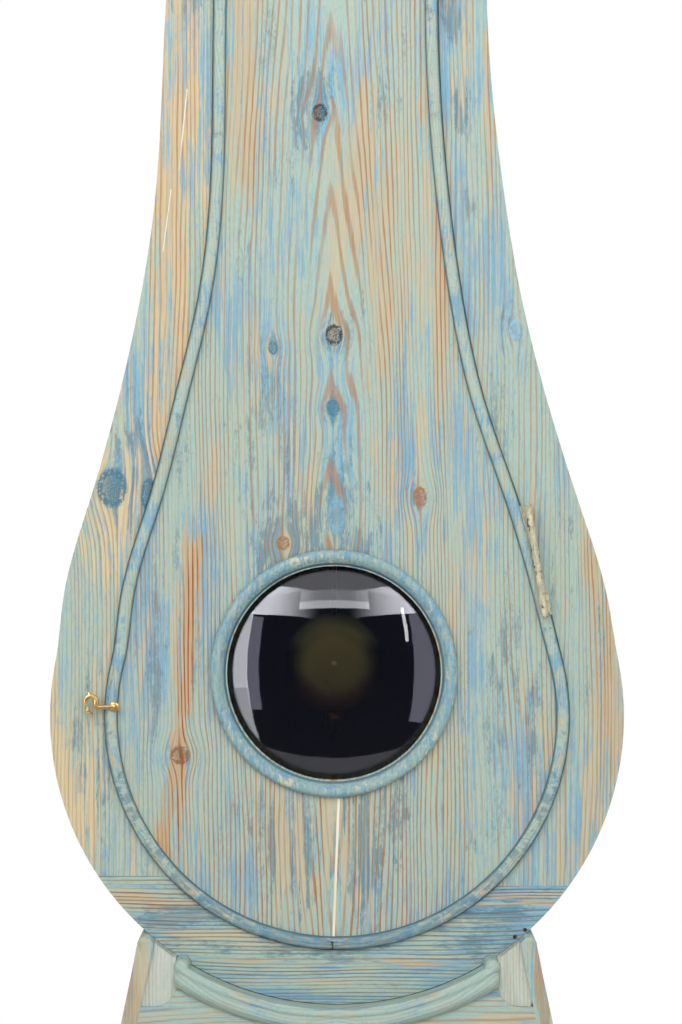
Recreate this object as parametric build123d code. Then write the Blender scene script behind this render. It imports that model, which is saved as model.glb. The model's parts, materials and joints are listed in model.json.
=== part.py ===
from build123d import *
from math import atan2, cos, degrees, pi, radians, sin, sqrt, tan
import os

# Swedish long-case clock of the Mora kind. Millimetres, +Z up, front towards -Y.
# The origin is on the floor, under the middle of the plinth.

# ---------------------------------------------------------------- driving dimensions
# Case, seen from the front: heights above the floor and sizes.
plinth_height = 58.0
plinth_half_width = 282.0
ear_height = 426.0
ear_half_width = 197.0
belly_height = 643.0
belly_radius = 287.0
door_radius = 231.0
join_height = 700.0
door_top_height = 1478.0
waist_height = 1505.0
dial_height = 1680.0
window_height = 687.0
clock_axis = -3.0

# Case, seen from the side.
case_depth = 230.0
frame_thickness = 22.0
backboard_thickness = 14.0
side_thickness = 8.0
side_setback = 4.0
base_board_thickness = 18.0
base_side_thickness = 16.0
plinth_thickness = 18.0
floor_board_thickness = 12.0

# Door.
door_thickness = 22.0
door_proud = 2.0
door_gap = 2.0
bead_width = 12.0
bead_height = 6.0
split_width = 2.4
split_depth = 5.0
batten_thickness = 8.0

# Window in the door.
window_opening_radius = 107.0
window_ring_radius = 123.5
window_ring_height = 10.0
glass_rim_radius = 112.5
glass_thickness = 2.5
glass_rise = 27.0
glass_seat_depth = 8.0
retainer_thickness = 6.0

# Door hinges: both barrels stand on one line, so that the door can turn.
lower_hinge_height = 800.0
upper_hinge_height = 1420.0
hinge_length = 112.0
hinge_barrel_radius = 3.75
hinge_pin_radius = 1.9
hinge_pin_clearance = 0.05
hinge_knuckles = 5
hinge_knuckle_gap = 0.5
hinge_leaf_thickness = 1.2
hinge_leaf_gap = 0.3
hinge_stand_off = 0.75

# Latch hook.
hook_pivot_x = -221.5
hook_pivot_height = 654.0
hook_length = 30.0
hook_thickness = 2.4
hook_eye_radius = 4.5
hook_screw_radius = 1.6

# Crescent moulding on the base.
crescent_gap = 0.4
crescent_width = 23.0
crescent_proud = 10.0
crescent_half_span = 153.0

# Movement.
plate_gap = 50.0
plate_thickness = 2.5
plate_half_width = 92.0
plate_top = 85.0
plate_bottom = -125.0
plate_front = -86.0
arbor_radius = 1.6
pivot_clearance = 0.06
dial_radius = 140.0
dial_thickness = 1.5
dial_back = -115.0

# Hood.
hood_head_radius = 178.0
hood_shoulder_half_width = 190.0
hood_shoulder_height = 1596.0
hood_base_height = 25.0
hood_front_thickness = 15.0
hood_wrap_thickness = 6.0
hood_opening_radius = 130.0
hood_clearance = 0.5

# Pendulum and weights.
bob_height = 690.0
bob_radius = 52.0
bob_thickness = 20.0
pendulum_depth = -12.0
rod_radius = 2.5
weight_radius = 24.0
weight_length = 190.0
weight_top_height = 1180.0

# ---------------------------------------------------------------- outlines and planes
# Edges of the waist and of the door, left and right, at chosen heights. They lean a
# little to the left towards the neck, as on a case that was sawn by hand.
waist_rows = [
    (waist_height, -163.0, 151.0),
    (1360.0, -171.0, 150.0),
    (1160.0, -182.0, 168.0),
    (1060.0, -197.0, 185.0),
    (960.0, -219.0, 210.0),
    (860.0, -247.0, 241.0),
    (760.0, -274.0, 271.0),
]
door_rows = [
    (door_top_height, -119.0, 101.0),
    (1360.0, -122.0, 99.6),
    (1160.0, -126.0, 111.0),
    (1060.0, -138.0, 124.5),
    (960.0, -161.5, 146.0),
    (860.0, -187.0, 180.0),
    (760.0, -215.5, 209.0),
]

frame_front = -case_depth / 2
frame_back = frame_front + frame_thickness
case_back = case_depth / 2
backboard_front = case_back - backboard_thickness
door_front = frame_front - door_proud
door_back = door_front + door_thickness
bead_front = door_front - bead_height
base_front_plane = frame_front - base_board_thickness
hinge_depth = bead_front - hinge_barrel_radius - hinge_stand_off
tall = 4000.0


def belly_outline(rows, radius, inset=0.0):
    """Closed outline, moved in by an inset: flat top, two flanks and the belly's circle."""
    circle = radius - inset
    drop = join_height - belly_height
    half = sqrt(circle**2 - drop**2)
    top = rows[0][0] - inset
    left = []
    right = []
    for number, (height, left_x, right_x) in enumerate(rows):
        before = rows[max(number - 1, 0)]
        after = rows[min(number + 1, len(rows) - 1)]
        fall = before[0] - after[0]
        left_shift = inset * sqrt(1 + ((before[1] - after[1]) / fall) ** 2)
        right_shift = inset * sqrt(1 + ((before[2] - after[2]) / fall) ** 2)
        level = min(height, top)
        left.append((left_x + left_shift, level))
        right.append((right_x - right_shift, level))
    left.append((-half, join_height))
    right.append((half, join_height))
    rise = drop / circle
    run = sqrt(1 - rise**2)
    with BuildSketch() as sketch:
        with BuildLine():
            Line(left[0], right[0])
            Spline(*right, tangents=[(0, -1), (rise, -run)])
            ThreePointArc(right[-1], (0, belly_height - circle), left[-1])
            Spline(*left, tangents=[(0, -1), (-rise, -run)])
        make_face()
    return sketch.sketch


def plate(outline, front, back):
    """Stand an outline up in the X-Z plane and give it its depth along Y."""
    return extrude(Plane.XZ.offset(-back) * outline, amount=back - front)


def block(x_min, x_max, y_min, y_max, z_min, z_max):
    """Square block between its six faces."""
    size = (x_max - x_min, y_max - y_min, z_max - z_min)
    centre = ((x_min + x_max) / 2, (y_min + y_max) / 2, (z_min + z_max) / 2)
    return Pos(*centre) * Box(*size)


def rod(x, z, radius, front, back):
    """Round bar along Y."""
    return Pos(x, (front + back) / 2, z) * Rot(90, 0, 0) * Cylinder(radius, back - front)


def turned(x, z, profile):
    """Turned piece about an axis along Y; the profile is (radius, y) corners."""
    outline = make_face(Polyline(*[(r, y) for r, y in profile], close=True))
    return Pos(x, 0, z) * revolve(outline, Axis.Y)


def disc_outline(radius, x=0.0, z=0.0):
    """Round outline about a point of the front view."""
    return Pos(x, z) * Circle(radius)


def edge_at(height, side):
    """Place of the door's left (1) or right (2) edge at a height, between two rows."""
    join_half = sqrt(door_radius**2 - (join_height - belly_height) ** 2)
    rows = door_rows + [(join_height, -join_half, join_half)]
    for upper, lower in zip(rows, rows[1:]):
        if lower[0] <= height <= upper[0]:
            share = (height - lower[0]) / (upper[0] - lower[0])
            return lower[side] + share * (upper[side] - lower[side])
    raise ValueError("height outside the rows")


waist_face = belly_outline(waist_rows, belly_radius)
side_outer_face = belly_outline(waist_rows, belly_radius, side_setback)
side_inner_face = belly_outline(waist_rows, belly_radius, side_setback + side_thickness)
door_face = belly_outline(door_rows, door_radius)
opening_face = belly_outline(door_rows, door_radius, -door_gap)
parts = {}

# ---------------------------------------------------------------- case: front frame
left_joint_height = 484.0
right_joint_height = 474.0
top_rail_joint = door_top_height + door_gap


def case_region(x_min, x_max, z_min, z_max):
    """Block as deep as the whole case, to take a piece out of an outline."""
    return block(x_min, x_max, -case_depth, case_depth, z_min, z_max)


frame_face = waist_face - opening_face
front_frame = plate(frame_face, frame_front, frame_back)
parts["left_stile"] = front_frame & case_region(-tall, 0, left_joint_height, top_rail_joint)
parts["right_stile"] = front_frame & case_region(0, tall, right_joint_height, top_rail_joint)
parts["top_rail"] = front_frame & case_region(-tall, tall, top_rail_joint, tall)
rail_left = case_region(-tall, 0, 0, left_joint_height)
rail_right = case_region(0, tall, 0, right_joint_height)
parts["bottom_rail"] = (front_frame & rail_left) + (front_frame & rail_right)

# Two nail holes at the right end of the rail, with their nails set below the face.
nail_places = [(178.0, 423.0), (188.0, 430.0)]
nail_radius = 2.2
nail_head_set = 1.0
nails = []
for x, z in nail_places:
    parts["bottom_rail"] -= rod(x, z, nail_radius, frame_front, frame_back)
    nails.append(rod(x, z, nail_radius, frame_front + nail_head_set, frame_back))
parts["rail_nails"] = Compound(children=nails)

# Bent side boards, nailed in behind the frame, and the board that closes the back.
wrap_bottom = 405.0
wrap_half_gap = 100.0
wrap_top = waist_height - 20.0
side_ring = plate(side_outer_face - side_inner_face, frame_back, backboard_front)
parts["left_side_board"] = side_ring & case_region(-tall, -wrap_half_gap, wrap_bottom, wrap_top)
parts["right_side_board"] = side_ring & case_region(wrap_half_gap, tall, wrap_bottom, wrap_top)

# ---------------------------------------------------------------- case: base
ear_flare = [
    (ear_half_width, ear_height),
    (206.0, 380.0),
    (215.0, 337.0),
    (241.0, 180.0),
    (262.0, plinth_height),
]
ear_inner_x = 160.0
ear_foot_height = 357.0
ear_foot_radius = 22.0
ear_hollow_radius = 34.0
ear_hollow_depth = 4.0
ear_top_radius = 6.5
crescent_inner_radius = belly_radius + crescent_gap
crescent_outer_radius = crescent_inner_radius + crescent_width


def flare_face(inset, top):
    """Outline of the base between its two flared sides."""
    right = [(x - inset, z) for x, z in ear_flare]
    left = [(-x, z) for x, z in right]
    with BuildSketch() as sketch:
        with BuildLine():
            Line(left[0], right[0])
            Spline(*right)
            Line(right[-1], left[-1])
            Spline(*left)
        make_face()
    return sketch.sketch & Rectangle(tall, 2 * top)


base_outer_face = flare_face(0, ear_height)
base_inner_face = flare_face(base_side_thickness, ear_height)
belly_disc = disc_outline(crescent_inner_radius, 0, belly_height)
side_faces = base_outer_face - base_inner_face - belly_disc
side_boards = plate(side_faces, base_front_plane, backboard_front)
right_base_side = side_boards & case_region(0, tall, 0, tall)
top_edge = right_base_side.edges().filter_by(Axis.Y).sort_by(Axis.X)
top_edge = top_edge.filter_by(lambda edge: edge.center().Z > ear_height - 1)[-1]
right_base_side = fillet(top_edge, ear_top_radius)
parts["base_side_right"] = right_base_side
parts["base_side_left"] = mirror(right_base_side, Plane.YZ)

# Ear posts: they fill the corners beside the belly and have a hollow face.
ear_corner = Pos(ear_inner_x + tall / 2, ear_foot_height + tall / 2) * RectangleRounded(
    tall, tall, ear_foot_radius
)
ear_face = base_inner_face & ear_corner
ear_face -= belly_disc
right_ear = plate(ear_face, base_front_plane, frame_back)
hollow_x = (ear_inner_x + ear_half_width) / 2
hollow_y = base_front_plane + ear_hollow_depth - ear_hollow_radius
hollow_lean = degrees(atan2(ear_flare[1][0] - ear_flare[0][0], ear_height - ear_flare[1][1]))
hollow_height = (ear_height + ear_foot_height) / 2
hollow = Pos(hollow_x, hollow_y, hollow_height) * Rot(0, -hollow_lean / 2, 0) * Cylinder(
    ear_hollow_radius, ear_height
)
right_ear -= hollow
parts["ear_post_right"] = right_ear
parts["ear_post_left"] = mirror(right_ear, Plane.YZ)

# Base front: the board under the crescent, cut round the ear posts.
crescent_disc = disc_outline(crescent_outer_radius, 0, belly_height)
ear_cut = Pos(-ear_inner_x - tall / 2, ear_foot_height + tall / 2) * RectangleRounded(
    tall, tall, ear_foot_radius
)
base_front_face = base_inner_face - crescent_disc - ear_corner - ear_cut
parts["base_front"] = plate(base_front_face, base_front_plane, frame_front)

# Crescent moulding: three ridges that follow the belly, with rounded ends.
crescent_profile = [
    (0.0, 0.0),
    (0.0, 0.55),
    (0.16, 0.8),
    (0.3, 0.78),
    (0.36, 0.62),
    (0.44, 0.95),
    (0.62, 1.0),
    (0.8, 0.86),
    (0.88, 0.5),
    (1.0, 0.35),
    (1.0, 0.0),
]
crescent_corners = []
for across, out in crescent_profile:
    radius = crescent_inner_radius + across * crescent_width
    depth = frame_front - (out * crescent_proud + (base_board_thickness if out > 0 else 0))
    crescent_corners.append((radius, depth))
crescent_ring = turned(0, belly_height, crescent_corners)
crescent_mid_radius = crescent_inner_radius + crescent_width / 2
crescent_span = block(
    -crescent_half_span, crescent_half_span, -case_depth, 0, 0, belly_height
)
crescent_tips = []
for side in (-1, 1):
    tip_x = side * crescent_half_span
    tip_z = belly_height - sqrt(crescent_mid_radius**2 - crescent_half_span**2)
    crescent_tips.append(rod(tip_x, tip_z, crescent_width / 2, -case_depth, 0))
crescent = crescent_ring & (crescent_span + crescent_tips[0] + crescent_tips[1])
parts["crescent_moulding"] = crescent - plate(ear_corner + ear_cut, -case_depth, 0)

# Floor of the base, on a ledge inside, and the plinth boards round the foot.
plinth_proud = 10.0
plinth_bevel = 14.0
plinth_front = base_front_plane - plinth_proud
foot_half_width = ear_flare[-1][0]
plinth_box = block(
    -plinth_half_width, plinth_half_width, plinth_front, backboard_front, 0, plinth_height + plinth_bevel
)
plinth_top = plinth_box.faces().sort_by(Axis.Z)[-1]
plinth_edges = plinth_top.edges().filter_by(lambda edge: edge.center().Y < backboard_front - 1)
plinth_box = chamfer(plinth_edges, plinth_proud - 0.5)
plinth_void = block(
    -foot_half_width + plinth_thickness, foot_half_width - plinth_thickness,
    base_front_plane + plinth_thickness, case_back, -1, plinth_height
)
plinth_body = plinth_box - plinth_void
plinth_body -= block(-foot_half_width, foot_half_width, base_front_plane, case_back, plinth_height, tall)
parts["plinth_front"] = plinth_body & block(-tall, tall, -tall, base_front_plane + plinth_thickness, 0, tall)
plinth_rest = plinth_body & block(-tall, tall, base_front_plane + plinth_thickness, tall, 0, tall)
parts["plinth_left"] = plinth_rest & block(-tall, 0, -tall, tall, 0, tall)
parts["plinth_right"] = plinth_rest & block(0, tall, -tall, tall, 0, tall)
parts["base_floor"] = block(
    -foot_half_width + plinth_thickness, foot_half_width - plinth_thickness,
    base_front_plane + plinth_thickness, backboard_front,
    plinth_height - floor_board_thickness, plinth_height
)

# ---------------------------------------------------------------- case: top
cornice_height = 20.0
cornice_proud = 14.0
top_frame_thickness = 18.0
cheek_thickness = 20.0
cheek_inset = 8.0
seat_thickness = 18.0
seat_top = dial_height + plate_bottom
top_left = waist_rows[0][1]
top_right = waist_rows[0][2]
inner_left = top_left + side_setback + side_thickness
inner_right = top_right - side_setback - side_thickness
weight_way_half = 78.0
weight_way_back = 40.0

cornice = block(
    top_left - cornice_proud, top_right + cornice_proud, frame_front - cornice_proud, backboard_front,
    waist_height - cornice_height, waist_height
)
cornice_low = cornice.faces().sort_by(Axis.Z)[0].edges()
cornice = fillet(cornice_low.filter_by(lambda edge: edge.center().Y < backboard_front - 1), cornice_proud - 3)
cornice_core = plate(waist_face, frame_front, case_back)
parts["waist_cornice"] = cornice - cornice_core

top_frame = block(
    inner_left, inner_right, frame_back, backboard_front,
    waist_height - 40, waist_height - 40 + top_frame_thickness
)
top_frame &= plate(side_inner_face, frame_front, case_back)
weight_way = block(
    clock_axis - weight_way_half, clock_axis + weight_way_half, frame_back - 1, weight_way_back, 0, tall
)
parts["top_frame"] = top_frame - weight_way
cheek_foot = waist_height - 40 + top_frame_thickness
left_cheek = block(
    inner_left + cheek_inset, inner_left + cheek_inset + cheek_thickness, frame_back, backboard_front,
    cheek_foot, seat_top - seat_thickness
)
right_cheek = block(
    inner_right - cheek_inset - cheek_thickness, inner_right - cheek_inset, frame_back, backboard_front,
    cheek_foot, seat_top - seat_thickness
)
parts["left_cheek"] = left_cheek
parts["right_cheek"] = right_cheek
seat_front = plate_front - 10
seat_back = 20.0
seat_board = block(
    inner_left + cheek_inset, inner_right - cheek_inset, seat_front, seat_back,
    seat_top - seat_thickness, seat_top
)

pivot_height = dial_height + 55.0
spring_slot_half = 9.0
line_slot_half = 6.0
rod_slot_half = 22.0
going_x = clock_axis + 38.0
strike_x = clock_axis - 42.0
drum_height = dial_height - 35.5
drum_depth = plate_front + plate_thickness + plate_gap / 2 - 1.5

line_slot_left = 26.0
line_slot_right = 12.0
for x in (going_x, strike_x):
    seat_board -= block(
        x - line_slot_left, x + line_slot_right, drum_depth - line_slot_half,
        drum_depth + line_slot_half, 0, tall
    )
seat_board -= block(
    clock_axis - rod_slot_half, clock_axis + rod_slot_half, pendulum_depth - spring_slot_half,
    pendulum_depth + spring_slot_half, 0, tall
)
parts["seat_board"] = seat_board

# ---------------------------------------------------------------- hood outline and back
hood_bottom = waist_height
mask_back = dial_back - dial_thickness - 1.5
mask_front = mask_back - hood_front_thickness


def hood_outline(inset):
    """Round head on square shoulders, as seen from the front."""
    head = disc_outline(hood_head_radius - inset, clock_axis, dial_height)
    width = 2 * (hood_shoulder_half_width - inset)
    top = hood_shoulder_height - inset
    height = top - waist_height
    shoulders = Pos(clock_axis, waist_height + height / 2) * Rectangle(width, height)
    return head + shoulders


hood_face = hood_outline(0)
foot_face = Pos(0, plinth_height / 2) * Rectangle(2 * foot_half_width, plinth_height)
back_face = side_outer_face + base_outer_face + foot_face + hood_face
back_face += Pos((top_left + top_right) / 2, waist_height - 5) * Rectangle(
    top_right - top_left - 2 * side_setback, 20
)
parts["backboard"] = plate(back_face, backboard_front, case_back)
wall_hole_radius = 4.0
wall_hole_height = 1560.0
parts["backboard"] -= rod(clock_axis, wall_hole_height, wall_hole_radius, backboard_front, case_back)

# ---------------------------------------------------------------- door
window_seat = rod(clock_axis, window_height, window_opening_radius, door_front, door_back)
glass_plane = door_front + glass_seat_depth
glass_pocket = rod(clock_axis, window_height, glass_rim_radius + 0.5, glass_plane, door_back)
door_panel = plate(door_face, door_front, door_back) - window_seat - glass_pocket
split_top = window_height - window_ring_radius + 2
split_drift = 6.0
split_lean = degrees(atan2(split_drift, split_top - belly_height + door_radius))
split_height = (split_top + belly_height - door_radius) / 2
split_x = -1.0
split_strip = Pos(split_x, door_front + split_depth / 2, split_height) * Rot(0, split_lean, 0) * Box(
    split_width, split_depth, split_top - belly_height + door_radius - 8
)
door_panel -= split_strip

bead_face = door_face - belly_outline(door_rows, door_radius, bead_width)
bead = plate(bead_face, bead_front, door_front)
bead_edges = bead.faces().sort_by(Axis.Y)[0].edges()
bead = fillet(bead_edges, bead_height - 0.6)
notch_x = -4.5
notch_width = 3.0
bead -= block(
    notch_x - notch_width / 2, notch_x + notch_width / 2, bead_front - 1, door_front,
    belly_height - door_radius - 1, belly_height - door_radius + 8
)

# Battens across the back of the door keep the boards flat.
batten_width = 60.0
batten_margin = 14.0
batten_places = [980.0, 1330.0]
battens = []
for height in batten_places:
    left = edge_at(height + batten_width / 2, 1) + batten_margin
    right = edge_at(height + batten_width / 2, 2) - batten_margin
    battens.append(block(
        left, right, door_back, door_back + batten_thickness, height - batten_width / 2,
        height + batten_width / 2
    ))
parts["door_battens"] = Compound(children=battens)

# Turned window ring: a groove, a round band and a thin lip towards the glass.
ring_back = door_front
ring_profile = [
    (window_opening_radius, ring_back),
    (window_opening_radius, ring_back - 6.0),
    (window_opening_radius + 1.6, ring_back - 7.4),
    (window_opening_radius + 2.6, ring_back - 6.4),
    (window_opening_radius + 4.2, ring_back - 9.0),
    (window_opening_radius + 7.2, ring_back - window_ring_height),
    (window_opening_radius + 10.4, ring_back - 9.0),
    (window_opening_radius + 12.6, ring_back - 6.0),
    (window_opening_radius + 13.4, ring_back - 3.2),
    (window_ring_radius - 2.0, ring_back - 4.0),
    (window_ring_radius, ring_back - 2.0),
    (window_ring_radius, ring_back),
]
parts["window_ring"] = turned(clock_axis, window_height, ring_profile)

# Domed glass: part of a blown sphere, ground flat at its rim.
dome_radius = (window_opening_radius**2 + glass_rise**2) / (2 * glass_rise)
inner_dome_radius = dome_radius - glass_thickness
dome_centre = glass_plane - glass_rise + dome_radius
glass_foot = glass_plane + glass_thickness
inner_foot_radius = sqrt(inner_dome_radius**2 - (dome_centre - glass_foot) ** 2)
outer_foot_radius = sqrt(dome_radius**2 - (dome_centre - glass_plane) ** 2) - 0.2
outer_y = dome_centre - sqrt(dome_radius**2 - outer_foot_radius**2)
with BuildSketch() as glass_sketch:
    with BuildLine():
        half_angle = radians(14)
        inner_mid = (
            inner_dome_radius * sin(half_angle),
            dome_centre - inner_dome_radius * cos(half_angle),
        )
        outer_mid = (dome_radius * sin(half_angle), dome_centre - dome_radius * cos(half_angle))
        outer_top = (0, dome_centre - dome_radius)
        inner_top = (0, dome_centre - inner_dome_radius)
        Line(inner_top, outer_top)
        ThreePointArc(outer_top, outer_mid, (outer_foot_radius, outer_y))
        Polyline(
            (outer_foot_radius, outer_y), (outer_foot_radius, glass_plane), (glass_rim_radius, glass_plane),
            (glass_rim_radius, glass_foot), (inner_foot_radius, glass_foot)
        )
        ThreePointArc((inner_foot_radius, glass_foot), inner_mid, inner_top)
    make_face()
parts["window_glass"] = Pos(clock_axis, 0, window_height) * revolve(glass_sketch.sketch, Axis.Y)
retainer_inner = inner_foot_radius - 2
parts["glazing_ring"] = turned(clock_axis, window_height, [
    (retainer_inner, glass_foot),
    (glass_rim_radius, glass_foot),
    (glass_rim_radius, glass_foot + retainer_thickness),
    (retainer_inner + 4, glass_foot + retainer_thickness),
])

# ---------------------------------------------------------------- door hinges
hinge_lower_x = edge_at(lower_hinge_height, 2) + door_gap / 2
hinge_upper_x = edge_at(upper_hinge_height, 2) + door_gap / 2
hinge_lean = atan2(hinge_lower_x - hinge_upper_x, upper_hinge_height - lower_hinge_height)
knuckle_pitch = hinge_length / hinge_knuckles
knuckle_length = knuckle_pitch - hinge_knuckle_gap
hinge_bore_radius = hinge_pin_radius + hinge_pin_clearance
hinge_tab_thickness = 1.2
leaf_back = door_back - 1.0


def edge_lean(height):
    """Lean of the door's right edge about a hinge, in radians from upright."""
    reach = hinge_length / 2
    shift = edge_at(height - reach, 2) - edge_at(height + reach, 2)
    return atan2(shift, 2 * reach)


def door_hinge(x, height):
    """Frame leaf, door leaf and pin of one hinge."""
    lean = edge_lean(height)
    tab_back = bead_front - hinge_stand_off / 3
    tab_front = tab_back - hinge_tab_thickness
    axis_frame = Pos(x, hinge_depth, height) * Rot(0, -degrees(hinge_lean), 0)
    leaves = []
    for side in (1, -1):
        leaf_x = side * (hinge_leaf_gap + hinge_leaf_thickness) / 2
        leaf = Box(hinge_leaf_thickness, leaf_back - tab_front, hinge_length)
        leaf = Pos(leaf_x, (leaf_back + tab_front) / 2, 0) * leaf
        leaf = Pos(x, 0, height) * Rot(0, -degrees(lean), 0) * leaf
        leaves.append(leaf)
    bore = axis_frame * Cylinder(hinge_bore_radius, hinge_length + 2)
    for number in range(hinge_knuckles):
        along = (number - (hinge_knuckles - 1) / 2) * knuckle_pitch
        index = number % 2
        knuckle = axis_frame * Pos(0, 0, along) * Cylinder(hinge_barrel_radius, knuckle_length)
        run = along * (tan(hinge_lean) - tan(lean))
        side = 1 if index == 0 else -1
        target = run + side * (hinge_leaf_gap / 2 + hinge_leaf_thickness)
        tab_low = min(target, 0)
        tab_high = max(target, 0)
        tab = Pos((tab_low + tab_high) / 2, (tab_front + tab_back) / 2 - hinge_depth, along)
        tab = axis_frame * tab * Box(tab_high - tab_low, hinge_tab_thickness, knuckle_length)
        leaves[index] += knuckle + tab
        other_lap = Pos(0, 0, along) * Cylinder(hinge_barrel_radius + 1.0, knuckle_pitch)
        leaves[1 - index] -= axis_frame * other_lap
        tab_lap = Pos(run, (tab_front + tab_back) / 2 - hinge_depth, along)
        leaves[1 - index] -= axis_frame * tab_lap * Box(12, hinge_tab_thickness + 1.4, knuckle_pitch)
    leaves = [leaf - bore for leaf in leaves]
    pin = axis_frame * Cylinder(hinge_pin_radius, hinge_length + 3)
    return leaves[0], leaves[1], pin


hinge_sets = [door_hinge(hinge_lower_x, lower_hinge_height), door_hinge(hinge_upper_x, upper_hinge_height)]
frame_leaves = [item[0] for item in hinge_sets]
door_leaves = [item[1] for item in hinge_sets]
parts["hinge_frame_leaves"] = Compound(children=frame_leaves)
parts["hinge_door_leaves"] = Compound(children=door_leaves)
parts["hinge_pins"] = Compound(children=[item[2] for item in hinge_sets])
for leaf in frame_leaves:
    parts["right_stile"] -= leaf
for leaf in door_leaves:
    door_panel -= leaf
# The bead is pared back along its outer edge where the leaves pass it.
pared_width = 8.0
for x, height in ((hinge_lower_x, lower_hinge_height), (hinge_upper_x, upper_hinge_height)):
    pared = Pos(pared_width / 2 - hinge_leaf_gap / 2 - hinge_leaf_thickness, 0, 0)
    pared = pared * Box(pared_width, case_depth, hinge_length + 1)
    bead -= Pos(x, bead_front, height) * Rot(0, -degrees(edge_lean(height)), 0) * pared
parts["door_panel"] = door_panel
parts["door_bead"] = bead
parts["split_filler"] = split_strip & plate(door_face, door_front, door_back)

# ---------------------------------------------------------------- latch hook and staple
hook_back = bead_front - 0.6
hook_front = hook_back - hook_thickness
hook_bar_width = 2.6
hook_bow_radius = 5.8
hook_peg_drop = 3.2
hook_peg_radius = 1.0
hook_rise = 1.6
eye_hole_clearance = 0.05
bow_x = hook_pivot_x - hook_length + hook_bow_radius
bow_height = hook_pivot_height + hook_bow_radius
tip_x = hook_pivot_x - hook_length - 2.5
with BuildSketch() as hook_sketch:
    with Locations((hook_pivot_x, hook_pivot_height)):
        Circle(hook_eye_radius)
    with Locations(((hook_pivot_x + bow_x) / 2, hook_pivot_height)):
        Rectangle(hook_pivot_x - bow_x, hook_bar_width)
    with Locations((bow_x, bow_height)):
        Circle(hook_bow_radius)
    with Locations((bow_x + 1.2, bow_height + 1.6)):
        Circle(hook_bow_radius - 2.2, mode=Mode.SUBTRACT)
    with Locations((tip_x, bow_height + 2.0)):
        Circle(2.4)
    with Locations((tip_x + 3.0, bow_height + 1.0)):
        Rectangle(6.0, 2.4)
    with Locations((bow_x, bow_height + 7.0)):
        Rectangle(1.8, 6.0)
latch_hook = plate(hook_sketch.sketch, hook_front, hook_back)
latch_hook -= rod(
    hook_pivot_x, hook_pivot_height, hook_screw_radius + eye_hole_clearance, hook_front - 1, hook_back + 1
)
peg_top = hook_pivot_height - hook_bar_width / 2
peg_x = bow_x - 1.5
peg_length = hook_peg_drop + hook_bar_width + 1.0
peg = Pos(peg_x, (hook_front + hook_back) / 2, peg_top - hook_peg_drop + peg_length / 2)
latch_hook += peg * Cylinder(hook_peg_radius, peg_length)
parts["latch_hook"] = latch_hook
screw_head_radius = 3.2
screw_head_height = 1.8
screw_slot = 0.8
screw = rod(hook_pivot_x, hook_pivot_height, hook_screw_radius, hook_front - 0.2, door_front + 12)
screw_head = rod(
    hook_pivot_x, hook_pivot_height, screw_head_radius, hook_front - 0.2 - screw_head_height, hook_front - 0.2
)
screw_head -= block(
    hook_pivot_x - screw_head_radius, hook_pivot_x + screw_head_radius, hook_front - 0.2 - screw_head_height,
    hook_front - 0.2 - screw_head_height + 0.8, hook_pivot_height - screw_slot / 2,
    hook_pivot_height + screw_slot / 2
)
parts["hook_screw"] = screw + screw_head
screw_way = rod(hook_pivot_x, hook_pivot_height, hook_screw_radius, bead_front, door_front + 12)
parts["door_panel"] -= screw_way
parts["door_bead"] -= screw_way

# Staple: a wire ring on a shank, which the hook's peg drops through.
staple_wire = 0.9
staple_ring_radius = 3.2
staple_height = peg_top - hook_peg_drop - staple_wire - 0.6
staple_y = (hook_front + hook_back) / 2
staple_ring = Pos(peg_x, staple_y, staple_height) * Torus(staple_ring_radius, staple_wire)
staple_depth = frame_front + 10.0
staple_shank = rod(peg_x, staple_height, staple_wire, staple_y + staple_ring_radius, staple_depth)
parts["latch_staple"] = staple_ring + staple_shank
parts["left_stile"] -= rod(peg_x, staple_height, staple_wire, frame_front, staple_depth)

# ---------------------------------------------------------------- hood
mask_face = hood_face - disc_outline(hood_opening_radius, clock_axis, dial_height)
mask_face &= Pos(clock_axis, hood_bottom + hood_base_height + tall / 2) * Rectangle(tall, tall)
parts["hood_front"] = plate(mask_face, mask_front, mask_back)
wrap_face = hood_face - hood_outline(hood_wrap_thickness)
wrap_face &= Pos(clock_axis, hood_bottom + hood_base_height + tall / 2) * Rectangle(tall, tall)
parts["hood_wrap"] = plate(wrap_face, mask_back, backboard_front - hood_clearance)

# Base frame of the hood: a moulded front rail and two side rails; the back is open.
base_half = hood_shoulder_half_width + 14.0
base_rail_width = 34.0
base_front_y = mask_front - 14.0
base_back_y = backboard_front - hood_clearance
base_box = block(
    clock_axis - base_half, clock_axis + base_half, base_front_y, base_back_y,
    hood_bottom + 0.3, hood_bottom + hood_base_height
)
base_low = base_box.edges().filter_by(lambda edge: edge.center().Y < base_back_y - 1)
base_upper = base_low.group_by(Axis.Z)[-1]
base_box = fillet(base_upper, 10.0)
base_box = chamfer(
    base_box.edges().filter_by(lambda edge: edge.center().Y < base_back_y - 1).group_by(Axis.Z)[0], 5.0
)
base_void = block(
    clock_axis - base_half + base_rail_width, clock_axis + base_half - base_rail_width,
    mask_back + 0.5, tall, 0, tall
)
parts["hood_base"] = base_box - base_void

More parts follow.
